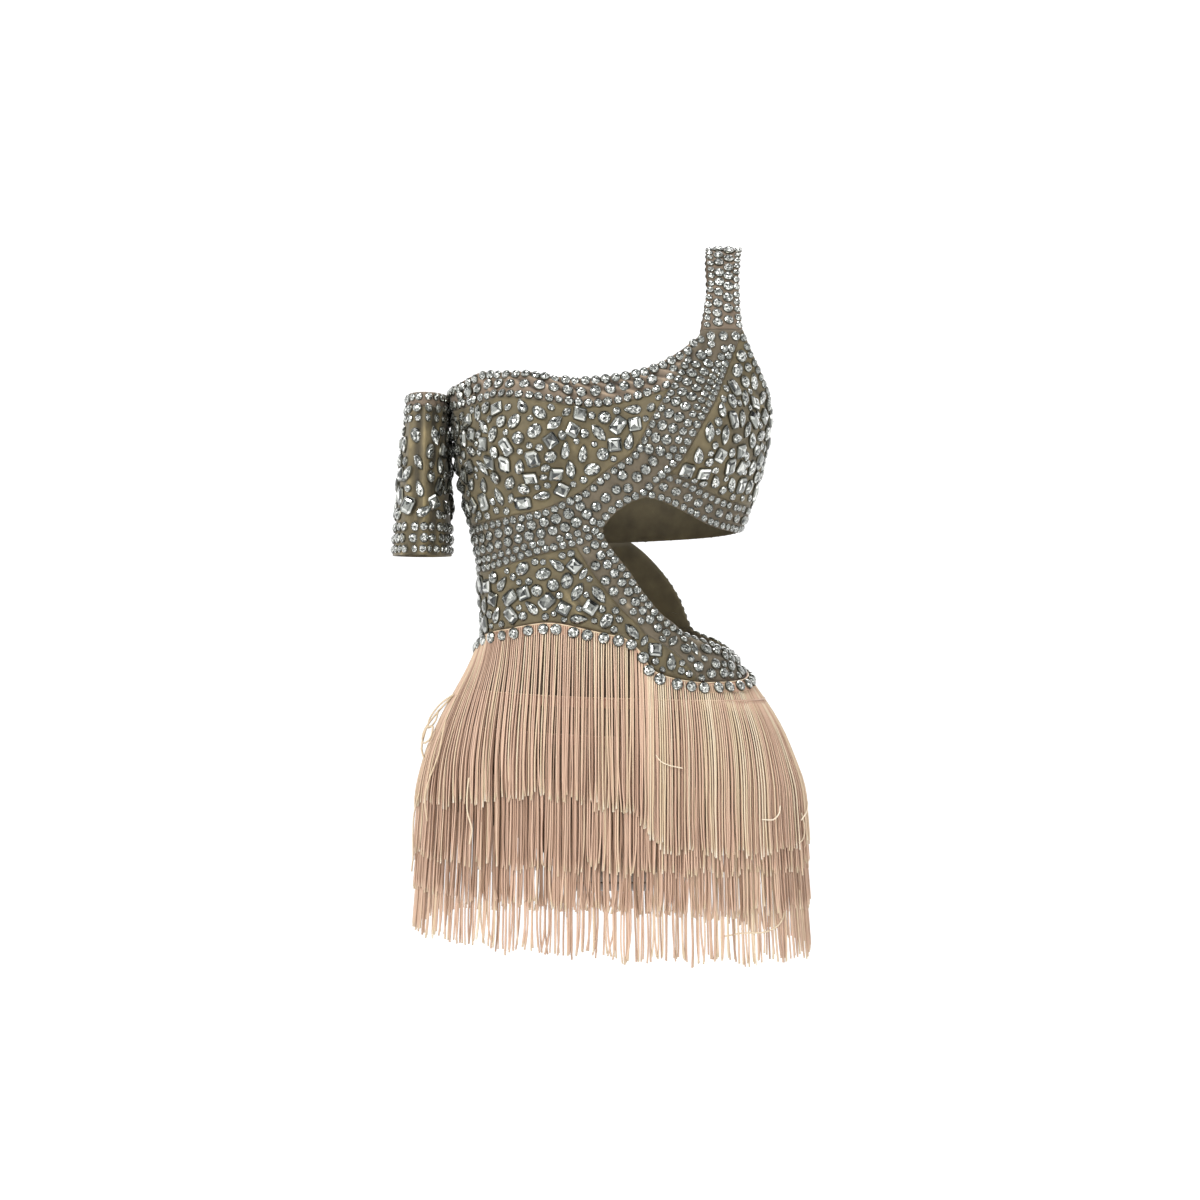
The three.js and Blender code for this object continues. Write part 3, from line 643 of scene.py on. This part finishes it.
def prototype(kind):
    """Points, triangles and which of them are glass.

    The points are in half lengths, half widths and, upwards, widths.
    """
    ring = outline(kind)
    n = len(ring)
    stepped = kind in ("square", "octagon")
    # the setting's wall and rim, then the glass up to its table: share of the outline, height
    levels = [(1.0, 0.0), (1.0, 0.11), (0.9, 0.17), (0.9, 0.17), (0.68, 0.27), (0.46, 0.32)]
    points = [np.c_[ring * s, np.full(n, z)] for s, z in levels]
    points.append(np.array([[0, 0, 0.37]]))
    faces, glass = [], []
    for k in (0, 1, 3, 4):
        for i in range(n):
            a, b = k * n + i, k * n + (i + 1) % n
            c, d = b + n, a + n
            split = [(a, b, c), (a, c, d)] if (i + k) % 2 or stepped else [(a, b, d), (b, c, d)]
            faces += split
            glass += [k > 2] * 2
    centre = len(levels) * n
    faces += [(5 * n + i, 5 * n + (i + 1) % n, centre) for i in range(n)]
    glass += [True] * n
    return np.vstack(points), np.array(faces), np.array(glass), stepped


KINDS = {kind: prototype(kind)
         for kind in ("round", "oval", "navette", "drop", "square", "octagon")}
SUNK = 0.15  # how far a setting's foot is sunk in the cloth
TILT, STEADY = 0.07, 8  # how much stones lean, and the length above which they lean less
# painted reflections: the tones the stones' facets are given, and how often each comes
PAINTED_FACET_REFLECTIONS, PAINTED_REFLECTION_SHARES = [0.02, 0.3, 0.55, 0.8, 1.0], [0.19, 0.26, 0.26, 0.17, 0.12]
STONES = {}
# painted light and shade: how light the stones of each region are, lightest on the strap and darker on
# the cross band and waist
REGION_PAINTED_LIGHT = {"strap": 1.12, "chest": 0.96, "cross": 0.8, "waist": 0.8, "back": 0.9}


def set_stone(region, kind, point, normal, heading, size):
    """Keeps a stone to build: its size is (length, width) in millimetres."""
    STONES.setdefault(region, {}).setdefault(kind, []).append((point, normal, heading, size))


def build_stones(region):
    """One mesh of all the stones of a region, each facet with its own tone, a painted reflection from
    dark to white.
    """
    parts, shift = [], 0
    for kind, stones in sorted(STONES[region].items()):
        unit, faces, glass, stepped = KINDS[kind]
        p, n, h = (np.array([s[k] for s in stones]) for k in (0, 1, 2))
        size = np.array([s[3] for s in stones], float)
        count = len(stones)
        n = to_unit(n + RNG.normal(0, TILT, n.shape) * np.minimum(1, STEADY / size[:, :1]))
        h = to_unit(h - n * (h * n).sum(1, keepdims=True))
        w = np.cross(n, h)
        points = (p[:, None] + unit[:, 0:1] * (size[:, None, 0:1] / 2) * h[:, None]
                  + unit[:, 1:2] * (size[:, None, 1:2] / 2) * w[:, None]
                  + (unit[:, 2:3] * size[:, None, 1:2] - SUNK) * n[:, None])
        tone = RNG.choice(PAINTED_FACET_REFLECTIONS, (count, len(faces)), p=PAINTED_REFLECTION_SHARES)
        if stepped:  # the two halves of a step shine alike
            half = len(faces) // 2 * 2
            tone[:, 1:half:2] = tone[:, 0:half:2]
        tone = np.clip((tone + RNG.normal(0, 0.05, tone.shape)) * REGION_PAINTED_LIGHT.get(region, 1.0), 0, 1)
        first = shift + np.arange(count) * len(unit)
        parts.append((points.reshape(-1, 3), (faces + first[:, None, None]).reshape(-1, 3),
                      np.tile(np.where(glass, 0, 1), count), tone.ravel()))
        shift += count * len(unit)
    points, faces, index, tone = (np.concatenate(part) for part in zip(*parts))
    obj = mesh_object("stones_" + region, points, faces, [STONE, SETTING], smooth=False,
                      index=index, tone=tone)
    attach(obj, "root")


NOWHERE = (1e6, 0, 0, 1)  # so that no surface starts with an empty list
# the room that stones take on each surface, as discs: centre and radius
DISCS = {"body": [NOWHERE], "strap": [NOWHERE], "sleeve": [NOWHERE]}


def centres_of(point, heading, length, width):
    """Centres of the discs that cover a stone."""
    reach = max(length - width, 0) / 2
    return [point + heading * reach * s for s in ((-1, 0, 1) if reach > 1 else (0,))]


def room_at(points, discs):
    """How far points are from the rims of all discs."""
    discs = np.array(discs, float)
    return np.linalg.norm(discs[:, :3] - points[:, None], axis=-1) - discs[:, 3]


CROWDED = 0.37  # a row skips a stone that has less room than this share of its size


def row(region, surface, line, pitch, size, lift, wander=0.35):
    """Round stones of one size along a line on a surface."""
    length = run_of(surface(line))
    count = max(int(length[-1] / pitch), 1)
    at = (np.arange(count) + 0.5) * length[-1] / count + RNG.normal(0, wander, count)
    q, ahead, behind = (picked(at + step, length, line) for step in (0, 1, -1))
    normal = frame_at(surface, q)[1]
    points = lifted(surface, q, lift)
    heading = to_unit(surface(ahead) - surface(behind))
    sizes = np.full((count, 2), size, float) * RNG.normal(1, 0.03, (count, 1))
    free = room_at(points, DISCS[surface.__name__]).min(1) > size * CROWDED
    for p, n, h, (long, wide) in zip(points[free], normal[free], heading[free], sizes[free]):
        set_stone(region, "round", p, n, h, (long, wide))
        DISCS[surface.__name__] += [(*c, wide / 2) for c in centres_of(p, h, long, wide)]


def across_of(name, side, measure):
    """A line of a patch: millimetres in from its low or high edge, or a share of its height."""
    line = []
    for places in PATCHES[name]:
        run = run_of(body(places))
        at = {"low": measure, "high": run[-1] - measure, "share": run[-1] * measure}[side]
        line.append(picked(np.clip(at, 0, run[-1]), run, places))
    return np.array(line)


TAPE_LINE = chain(TAPE_FRONT, edge("tapeBack", 20))
Tier = namedtuple("Tier", "name line slope strands radius tone wave sides")
# line is None where the tier follows the tape's own line; sides is how much denser it is there
# tone is the strands' colour; tiers 2 and 3 are darker, partly painted shade under the tiers above
TIERS = [Tier("fringe_tier_1", None, 0, 345, 0.71, 0.53, 0.5, 0.15),
         Tier("fringe_tier_2", -92, 6, 335, 0.78, 0.4, 0.7, 0.1),
         Tier("fringe_tier_3", -128, 9, 375, 0.88, 0.28, 0.9, 0.1),
         Tier("fringe_tier_4", -172, 12, 400, 0.93, 0.45, 1.1, 0.0)]
# strands: start below the line, lift there, step over each lower tape, and length
ROOT, ROOT_LIFT, STEP_OUT, FALL = 1.6, 4.3, 2.5, 161.4
FLARE = 0.075  # how fast the strands stand off below the hips


def strip_line(tier, turn):
    """Height of a tier's tape at a turn."""
    around = np.where(turn < -90, turn + 360, turn)
    if tier.line is None:
        return np.interp(around, TAPE_LINE[:, 0], TAPE_LINE[:, 1])
    return tier.line - tier.slope * np.sin(np.radians(around))


BIG, MID, SMALL = 10.8, 9.6, 8.1  # round stones
turns = np.linspace(-180, 180, 721)
HEADER_DROP, HEADER_PITCH, HEADER_SIZE, HEADER_LIFT = 6.8, 14.2, 11.4, 4.9
header = pair(turns, strip_line(TIERS[0], turns) - HEADER_DROP)
row("header", body, header, HEADER_PITCH, HEADER_SIZE, HEADER_LIFT, wander=0.9)
# by region and patch: edge or share, millimetres in or share of the height, pitch, size
BAND_ROWS = {
    ("chest", "neck_band_front"): [("high", 4.7, 9.5, 9.2), ("low", 4.3, 9.6, 8.8),
                                   ("share", 0.5, 13.2, 11.3)],
    ("cross", "cross_band"): [("high", 4.3, 8.5, SMALL), ("low", 4.3, 8.5, SMALL),
                              ("share", 0.7, 12.2, BIG), ("share", 0.47, 12.0, BIG),
                              ("share", 0.26, 9.0, SMALL)],
    ("cross", "under_cup_band"): [("low", 3.9, 8.0, 7.4), ("high", 3.9, 8.0, 7.4),
                                  ("share", 0.5, 12.4, MID)],
    ("waist", "cutout_band"): [("high", 4.4, 8.9, SMALL), ("high", 13.6, 11.0, MID)],
    ("waist", "left_cup_panel"): [("high", 4.3, 8.7, SMALL)],
    ("back", "back_upper"): [("high", 4.4, 8.8, SMALL), ("low", 4.4, 8.8, SMALL),
                             ("low", 16.0, 12.6, BIG), ("low", 27.0, 9.2, SMALL)],
    ("back", "back_lower"): [("high", 4.4, 8.8, SMALL)],
}
# two short rows at the strap's foot
row("strap", body, straight((31.0, 253.0), (47.4, 255.2), 20), 10.2, 9.6, LIFT["cross_band"])
row("strap", body, straight((34.5, 249.0), (33.0, 233.0), 20), 8.0, 8.2, LIFT["cross_band"])
for (region, name), band in BAND_ROWS.items():
    for side, measure, pitch, size in band:
        row(region, body, across_of(name, side, measure), pitch, size, LIFT[name])

# strap columns: millimetres from the middle, start, pitch, size, wander
STRAP_ROWS = [(-14.6, 1, 8.2, 7.4, 0.4), (14.6, 1, 8.2, 7.4, 0.4),
              (-5.3, 1, 11.6, 10.4, 0.7), (5.3, 5, 11.6, 10.4, 0.7)]
for at, start, pitch, size, wander in STRAP_ROWS:
    line = pair(np.full(80, at), np.linspace(start, STRAP_LONG - 1, 80))
    row("strap", strap, line, pitch, size, LIFT["strap"], wander=wander)

# stages of the scattered stones: stones to a square centimetre, tries, and kinds as
# (kind, length, width, share of the tries)
LARGE = (0.13, 1500, [("octagon", 17.8, 13.2, 0.42), ("square", 13.6, 13.6, 0.38),
                      ("oval", 16.5, 12.2, 0.2)])
LONG = (0.1, 2200, [("navette", 20.8, 10.4, 0.62), ("drop", 17.8, 11.6, 0.38)])
ROUND = (0.08, 2200, [("round", 12.8, 12.8, 1.0)])
FILL = (1.0, 4500, [("round", 9.8, 9.8, 0.5), ("round", 8, 8, 0.25), ("navette", 14, 7, 0.25)])
SEEDS = (0.3, 2500, [("round", 6.8, 6.8, 1.0)])
STUDS = (1.0, 7000, [("round", 10, 10, 0.6), ("round", 7.8, 7.8, 0.4)])
MIXED = (0.3, 2500, [("oval", 14, 10.6, 0.35), ("navette", 16.5, 8.6, 0.3),
                     ("round", 11.4, 11.4, 0.35)])


def scatter(region, surface, grid, lift, stage, gap, spread=0.5, hem=1.0):
    """Stones thrown on a patch wherever there is room, until there are enough."""
    dense, tries, mix = stage
    points = surface(grid)
    wanted = dense * area_of(points) * 1e4
    areas = cell_areas(points).ravel()
    cells = RNG.choice(len(areas), tries, p=areas / areas.sum())
    i, j = np.divmod(cells, grid.shape[1] - 1)
    u, v = RNG.random((2, tries, 1))
    q = blend(u, v, grid[i, j], grid[i + 1, j], grid[i, j + 1], grid[i + 1, j + 1])
    _, normal, up = frame_at(surface, q)
    at = lifted(surface, q, lift)
    side = np.cross(normal, up)
    spin = RNG.normal(0, spread, tries)
    heading = up * np.cos(spin)[:, None] + side * np.sin(spin)[:, None]
    border = np.vstack([points[0], points[-1], points[:, 0], points[:, -1]])
    pick = RNG.choice(len(mix), tries, p=np.array([m[3] for m in mix]) / sum(m[3] for m in mix))
    discs = np.array(DISCS[surface.__name__], float)
    for t in range(tries):
        if wanted <= 0:
            break
        kind, length, width, _ = mix[pick[t]]
        mine = np.array(centres_of(at[t], heading[t], length, width))
        room = room_at(mine, discs).min()
        edge_room = np.linalg.norm(border - mine[:, None], axis=-1).min()
        if room < width / 2 + gap or edge_room < width / 2 + hem:
            continue
        wanted -= 1
        set_stone(region, kind, at[t], normal[t], heading[t], (length, width))
        discs = np.vstack([discs, np.c_[mine, np.full(len(mine), width / 2)]])
    DISCS[surface.__name__] = [tuple(d) for d in discs]


for region, name, spread in (("chest", "right_cup_panel", 0.7), ("chest", "left_cup_panel", 0.4),
                             ("waist", "midriff_panel", 0.9),
                             ("back", "back_upper", 0.7), ("back", "back_lower", 0.8)):
    gap = 0.4 if region == "waist" else 0.6
    for stage in (LARGE, LONG, ROUND, FILL, SEEDS):
        scatter(region, body, PATCHES[name], LIFT[name], stage, gap, spread)
scatter("waist", body, PATCHES["cutout_band"], LIFT["cutout_band"], MIXED, 0.5, 0.6, 0.5)
for region, name in (("chest", "neck_band_front"), ("cross", "cross_band"), ("waist", "cutout_band")):
    scatter(region, body, PATCHES[name], LIFT[name], STUDS, 0.5, hem=0.2)

ring = np.linspace(-180, 180, 121)
for height, pitch, size in ((50, 9.4, SMALL), (60.5, 12.0, 9.8), (71.5, 10.6, MID),
                            (198.4, 9.0, SMALL), (187.5, 12.4, MID), (177.5, 11.6, SMALL)):
    row("sleeve", sleeve, pair(ring, np.full(121, float(height))), pitch, size, 0.0)
grid = lattice(np.linspace(-180, 180, 61), np.linspace(77, 172, 20))
for stage in (LARGE, LONG, ROUND, FILL):
    scatter("sleeve", sleeve, grid, 0.0, stage, 1.2, 0.5)

# ---- fringe
def even_turns(tier, start):
    """Turns of a tier's strands at equal steps along its tape, closer at the sides."""
    turn = np.linspace(-180, 180, 721)
    points = body(pair(turn, strip_line(tier, turn)))
    step = np.linalg.norm(np.diff(points, axis=0), axis=1)
    step *= 1 + tier.sides * np.abs(np.sin(np.radians(turn[:-1]))) ** 3
    length = np.r_[0, np.cumsum(step)]
    return np.interp((np.arange(tier.strands) + start) / tier.strands * length[-1], length, turn)


def passed(tier, turn, root, height):
    """How many lower tapes a strand has swung out over, at each of its heights."""
    tapes, above = np.zeros(height.shape), root[:, None]
    for lower in TIERS[TIERS.index(tier) + 1:]:
        tape = strip_line(lower, turn)[:, None]
        share = np.clip((above - height) / np.maximum(above - tape, 20), 0, 1)
        tapes += share * share * (3 - 2 * share)
        above = tape
    return tapes


def falling(turn, root, length, t):
    """Turns of strands on their way down: straight, save where the hips push them aside."""
    steps = 40
    at = [turn]
    for k in range(steps):
        here, ahead = (root - length * j / steps for j in (k, k + 1))
        move = hanging(pair(at[-1], ahead)) - hanging(pair(at[-1], here))
        along = (hanging(pair(at[-1] + 1, ahead))
                 - hanging(pair(at[-1] - 1, ahead)))[..., :2] / 2
        at.append(at[-1] - (move[..., :2] * along).sum(-1) / (along**2).sum(-1))
    at = np.stack(at, -1)
    i = np.minimum((t * steps).astype(int), steps - 1)
    return at[:, i] + (at[:, i + 1] - at[:, i]) * (t * steps - i)


def strand_paths(tier, samples, start):
    """Paths of a tier's strands, their turns at the root and how far down each point is."""
    count, wave = tier.strands, tier.wave
    turn = even_turns(tier, start) + RNG.normal(0, 0.06, count)
    root = strip_line(tier, turn) - ROOT
    length = FALL + RNG.normal(0, 2.3, count) + 2.5 * np.sin(turn * 0.35)
    t = np.linspace(0, 1, samples) ** 0.9
    height = root[:, None] - length[:, None] * t
    clump = np.sin(turn * 1.9 + 3 * tier.wave) * 0.14 + np.sin(turn * 4.3) * 0.08
    tangle = 0.22 + 0.3 * hump(turn, -62, 20) + 0.15 * hump(turn, 70, 18)
    curl = RNG.normal(0, 0.3, count)[:, None] * wave * np.clip((t - 0.8) / 0.2, 0, 1) ** 2
    bend = 0.09 * wave * np.sin(10 * t + RNG.uniform(0, 6, count)[:, None]) * t
    sway = (RNG.normal(0, 1, count) * tangle + clump)[:, None] * t + bend + curl
    lift = (ROOT_LIFT + STEP_OUT * passed(tier, turn, root, height)
            + FLARE * np.maximum(HIP_LINE - height, 0) + RNG.normal(0, 0.7, count)[:, None] * t)
    q = pair(falling(turn, root, length, t) + sway * 1.6, height)
    points, normal, _ = frame_at(hanging, q)
    points = points + normal * np.maximum(lift, 2.6)[..., None]
    points[..., 2] = height
    for _ in range(4):  # a hanging strand bridges the hollow of the waist
        middle = (points[:, :-2, :2] + points[:, 2:, :2]) / 2
        bridge = np.clip(1.4 - 2.4 * t[1:-1], 0, 1)[None, :, None]
        points[:, 1:-1, :2] += 0.6 * bridge * (middle - points[:, 1:-1, :2])
    return points, turn, t


def tubes(paths, radius, sides):
    """Capped tubes along paths, an array of (strand, point, 3): points and faces."""
    count, samples = paths.shape[:2]
    forward = np.gradient(paths, axis=1)
    forward /= np.maximum(np.linalg.norm(forward, axis=-1, keepdims=True), 1e-9)
    ref = np.array([0.31, -0.95, 0.05])
    a = to_unit(np.cross(forward, ref))
    b = np.cross(forward, a)
    angle = np.arange(sides) / sides * 2 * np.pi
    r = np.broadcast_to(radius, (count, samples))[..., None, None]
    points = (paths[:, :, None] + r * np.cos(angle)[:, None] * a[:, :, None]
              + r * np.sin(angle)[:, None] * b[:, :, None])
    k, s = np.arange(samples - 1)[:, None], np.arange(sides)
    one, two = k * sides + s, k * sides + (s + 1) % sides
    face = np.stack([one, two, two + sides, one + sides], -1).reshape(-1, 4)
    base = (np.arange(count) * samples * sides)[:, None, None]
    caps = np.stack([np.arange(sides)[::-1], np.arange(sides) + (samples - 1) * sides])
    faces = [*(face[None] + base).reshape(-1, 4), *(caps[None] + base).reshape(-1, sides)]
    return points.reshape(-1, 3), faces


def fringe_tone(tier, turn, t, sides):
    """Cream at the top of the first tier, blush below, and pale at the cut ends; with a painted
    highlight on the right, painted shade on the left, and painted shade among the first tier's roots
    on the left.
    """
    count = tier.strands
    tone = tier.tone + 0.13 * RNG.normal(0, 1, (count, 1))
    tone = tone + 0.03 * RNG.normal(0, 1, (count, len(t)))
    # painted highlight on the strands at the right side, painted shade on those at the left
    shine = 0.16 * hump(turn, 50, 30) - 0.1 * hump(turn, -66, 22)
    tone = tone + shine[:, None] * np.sin(np.pi * t) + 0.07 * np.sin(turn * 71.3)[:, None]
    if tier.line is None:
        # the first tier is cream near its roots, save on the left, where painted shade falls among the
        # roots, darker on some strands and lighter on others
        side = hump(turn, -50, 25)[:, None]
        tone = tone + (0.16 - 0.34 * side) * np.clip(1 - t / 0.3, 0, 1)
        tone = tone + 0.24 * side * np.sin(turn * 53.7)[:, None] * np.clip(1 - t / 0.5, 0, 1)
    tone = np.minimum(tone, 0.82) + (0.18 if tier is TIERS[-1] else 0.3) * (t > 0.985)
    return np.repeat(np.clip(tone, 0, 1).reshape(-1), sides)


def free_strand(places):
    """A strand that lies across the others, through given points of (turn, height, lift)."""
    q = np.array(places, float)
    at = np.linspace(0, len(q) - 1, 24)
    q = np.stack([reader(np.stack([np.arange(len(q)), q[:, k]], -1), 1)(at) for k in range(3)], -1)
    return lifted(hanging, q[:, :2], q[:, 2])[None]


SIDES, SAMPLES = 5, 16  # of a strand
# a tape's two faces off the body, and its rows of points below the tier's line
TAPE_IN, TAPE_OUT, TAPE_DROPS = 2.3, 3.6, (11.0, 9.0, 6.0, 3.0, 0.8)
# tier: (tone, radius, places)
LOOSE = {
    "fringe_tier_1": [
        (0.72, 1.0, [(-78, -98, 7.5), (-82, -109, 10.5), (-86, -123, 15), (-86, -137, 18.5),
                      (-81, -146, 16.5), (-77, -139, 12.5), (-79, -129, 13.5), (-84, -133, 17.5),
                      (-85, -149, 16.5), (-80, -161, 11)]),
        (0.76, 0.9, [(-76, -96, 7.5), (-81, -103, 11), (-86, -113, 15), (-87, -125, 17.5),
                     (-83, -132, 15.5), (-80, -123, 12.5), (-83, -114, 13)]),
        (0.85, 0.6, [(11.5, -146, 13), (12.6, -151, 14.5), (15, -155, 15), (19, -158, 14.5)]),
        (0.9, 0.7, [(55, -198, 13.5), (53.6, -205, 15), (50, -210, 15.5), (45.5, -209, 15)]),
        (0.9, 0.7, [(78.8, -199, 14), (76, -206, 15), (72, -210, 15.5), (69, -214, 15)]),
        (0.7, 0.8, [(-66, -120, 13), (-62, -150, 15), (-66, -190, 15), (-64, -214, 15)]),
        (0.8, 0.8, [(-44, -170, 13), (-43, -200, 14.5), (-41, -218, 15), (-42, -232, 15)])],
    "fringe_tier_2": [
        (0.8, 0.75, [(71, -208, 13), (73, -222, 14.5), (71, -232, 15), (67, -236, 15)]),
        (0.7, 0.8, [(-74, -190, 13), (-80, -220, 15), (-78, -250, 16), (-82, -268, 16)])],
    "fringe_tier_4": [
        (0.8, 0.8, [(58, -292, 12), (57, -304, 13), (53, -313, 13.5), (46, -317, 13.5), (38, -316, 13),
                    (31, -318, 12.5)])],
}
for number, tier in enumerate(TIERS):
    paths, roots, t = strand_paths(tier, SAMPLES, 0.5 * (number % 2))
    thick = np.full(paths.shape[:2], tier.radius) * RNG.normal(1, 0.08, (len(paths), 1))
    points, faces = tubes(paths, thick, SIDES)
    tone = fringe_tone(tier, roots, t, SIDES)
    turns = np.linspace(-180, 180, 361)
    hem = lifted(body, pair(turns, strip_line(tier, turns) - 1.5), 4.0)
    extras = [(0.72, 0.75, hem[None]) if number == 0 else (0.4, 0.7, hem[None])]
    extras += [(shade, wide, free_strand(places)) for shade, wide, places in LOOSE.get(tier.name, [])]
    for shade, wide, path in extras:
        more, extra = tubes(path, wide, SIDES)
        faces += [face + len(points) for face in extra]
        points = np.vstack([points, more])
        tone = np.r_[tone, np.full(len(more), shade)]
    obj = mesh_object(tier.name + "_strands", points, faces, [FRINGE], tone=tone)
    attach(obj, "root")
    turns = turns[:-1]
    head = strip_line(tier, turns)
    grid = np.stack([pair(turns, head - down) for down in TAPE_DROPS], 1)
    outer = lifted(body, grid, TAPE_OUT)
    tape = shell(tier.name + "_tape", lifted(body, grid, TAPE_IN), outer,
                 TAPE if number == 0 else SHADED_UNDER_TAPE, ring=True)
    declare(tape, tier.name)

for region in sorted(STONES):
    build_stones(region)


# ---- stage
def aim_at(obj, place, aim):
    obj.location = place
    obj.rotation_euler = (Vector(aim) - Vector(place)).to_track_quat("-Z", "Y").to_euler()


def lamp(name, place, aim, size, power):
    data = bpy.data.lights.new(name, "AREA")
    data.energy, data.size = power, size
    aim_at(add_object(name, data), place, aim)


# a round room in metres: floor, cove and wall
FLOOR, WALL, COVE, CEILING, ROUND_STEPS = -1.25, 5.2, 1.5, 4.5, 64
profile = [(WALL - COVE + COVE * math.sin(a), FLOOR + COVE - COVE * math.cos(a))
           for a in np.linspace(0, math.pi / 2, 10)] + [(WALL, CEILING)]
around = np.arange(ROUND_STEPS) / ROUND_STEPS * 2 * np.pi
points = [(0, 0, FLOOR)] + [(r * math.cos(a), r * math.sin(a), z) for r, z in profile
                            for a in around]
steps = [(1 + i, 1 + (i + 1) % ROUND_STEPS) for i in range(ROUND_STEPS)]
faces = [(0, b, a) for a, b in steps]
for k in range(len(profile) - 1):
    below, above = k * ROUND_STEPS, (k + 1) * ROUND_STEPS
    faces += [(a + below, b + below, b + above, a + above) for a, b in steps]
mesh = bpy.data.meshes.new("studio")
mesh.from_pydata(points, [], faces)
mesh.shade_smooth()
mesh.materials.append(principled("studio_paper", (0.9, 0.9, 0.9, 1), 0.9,
                                 Emission_Color=(1, 1, 1, 1), Emission_Strength=0.24)[0])
add_object("studio", mesh)

centre = (-0.124, -0.005, -0.35)
lamp("key", (-1.7, -2.6, 1.5), centre, 1.0, 80)
lamp("fill", (1.9, -2.4, 0.5), centre, 1.8, 14)
lamp("top", (-0.1, -0.3, 2.6), centre, 1.4, 32)
lamp("rim", (0.6, 2.6, 1.4), centre, 1.6, 24)

world = bpy.data.worlds.new("sky")
world.use_nodes = True
sky = world.node_tree.nodes["Background"]
sky.inputs["Color"].default_value = (1, 1, 1, 1)
sky.inputs["Strength"].default_value = 0.25
bpy.context.scene.world = world
bpy.context.scene.view_settings.view_transform = "Standard"

camera = bpy.data.cameras.new("camera")
camera.lens, camera.sensor_width = 54, 36
view = add_object("camera", camera)
aim_at(view, (-0.124, -1.805, -0.35), centre)
bpy.context.scene.camera = view
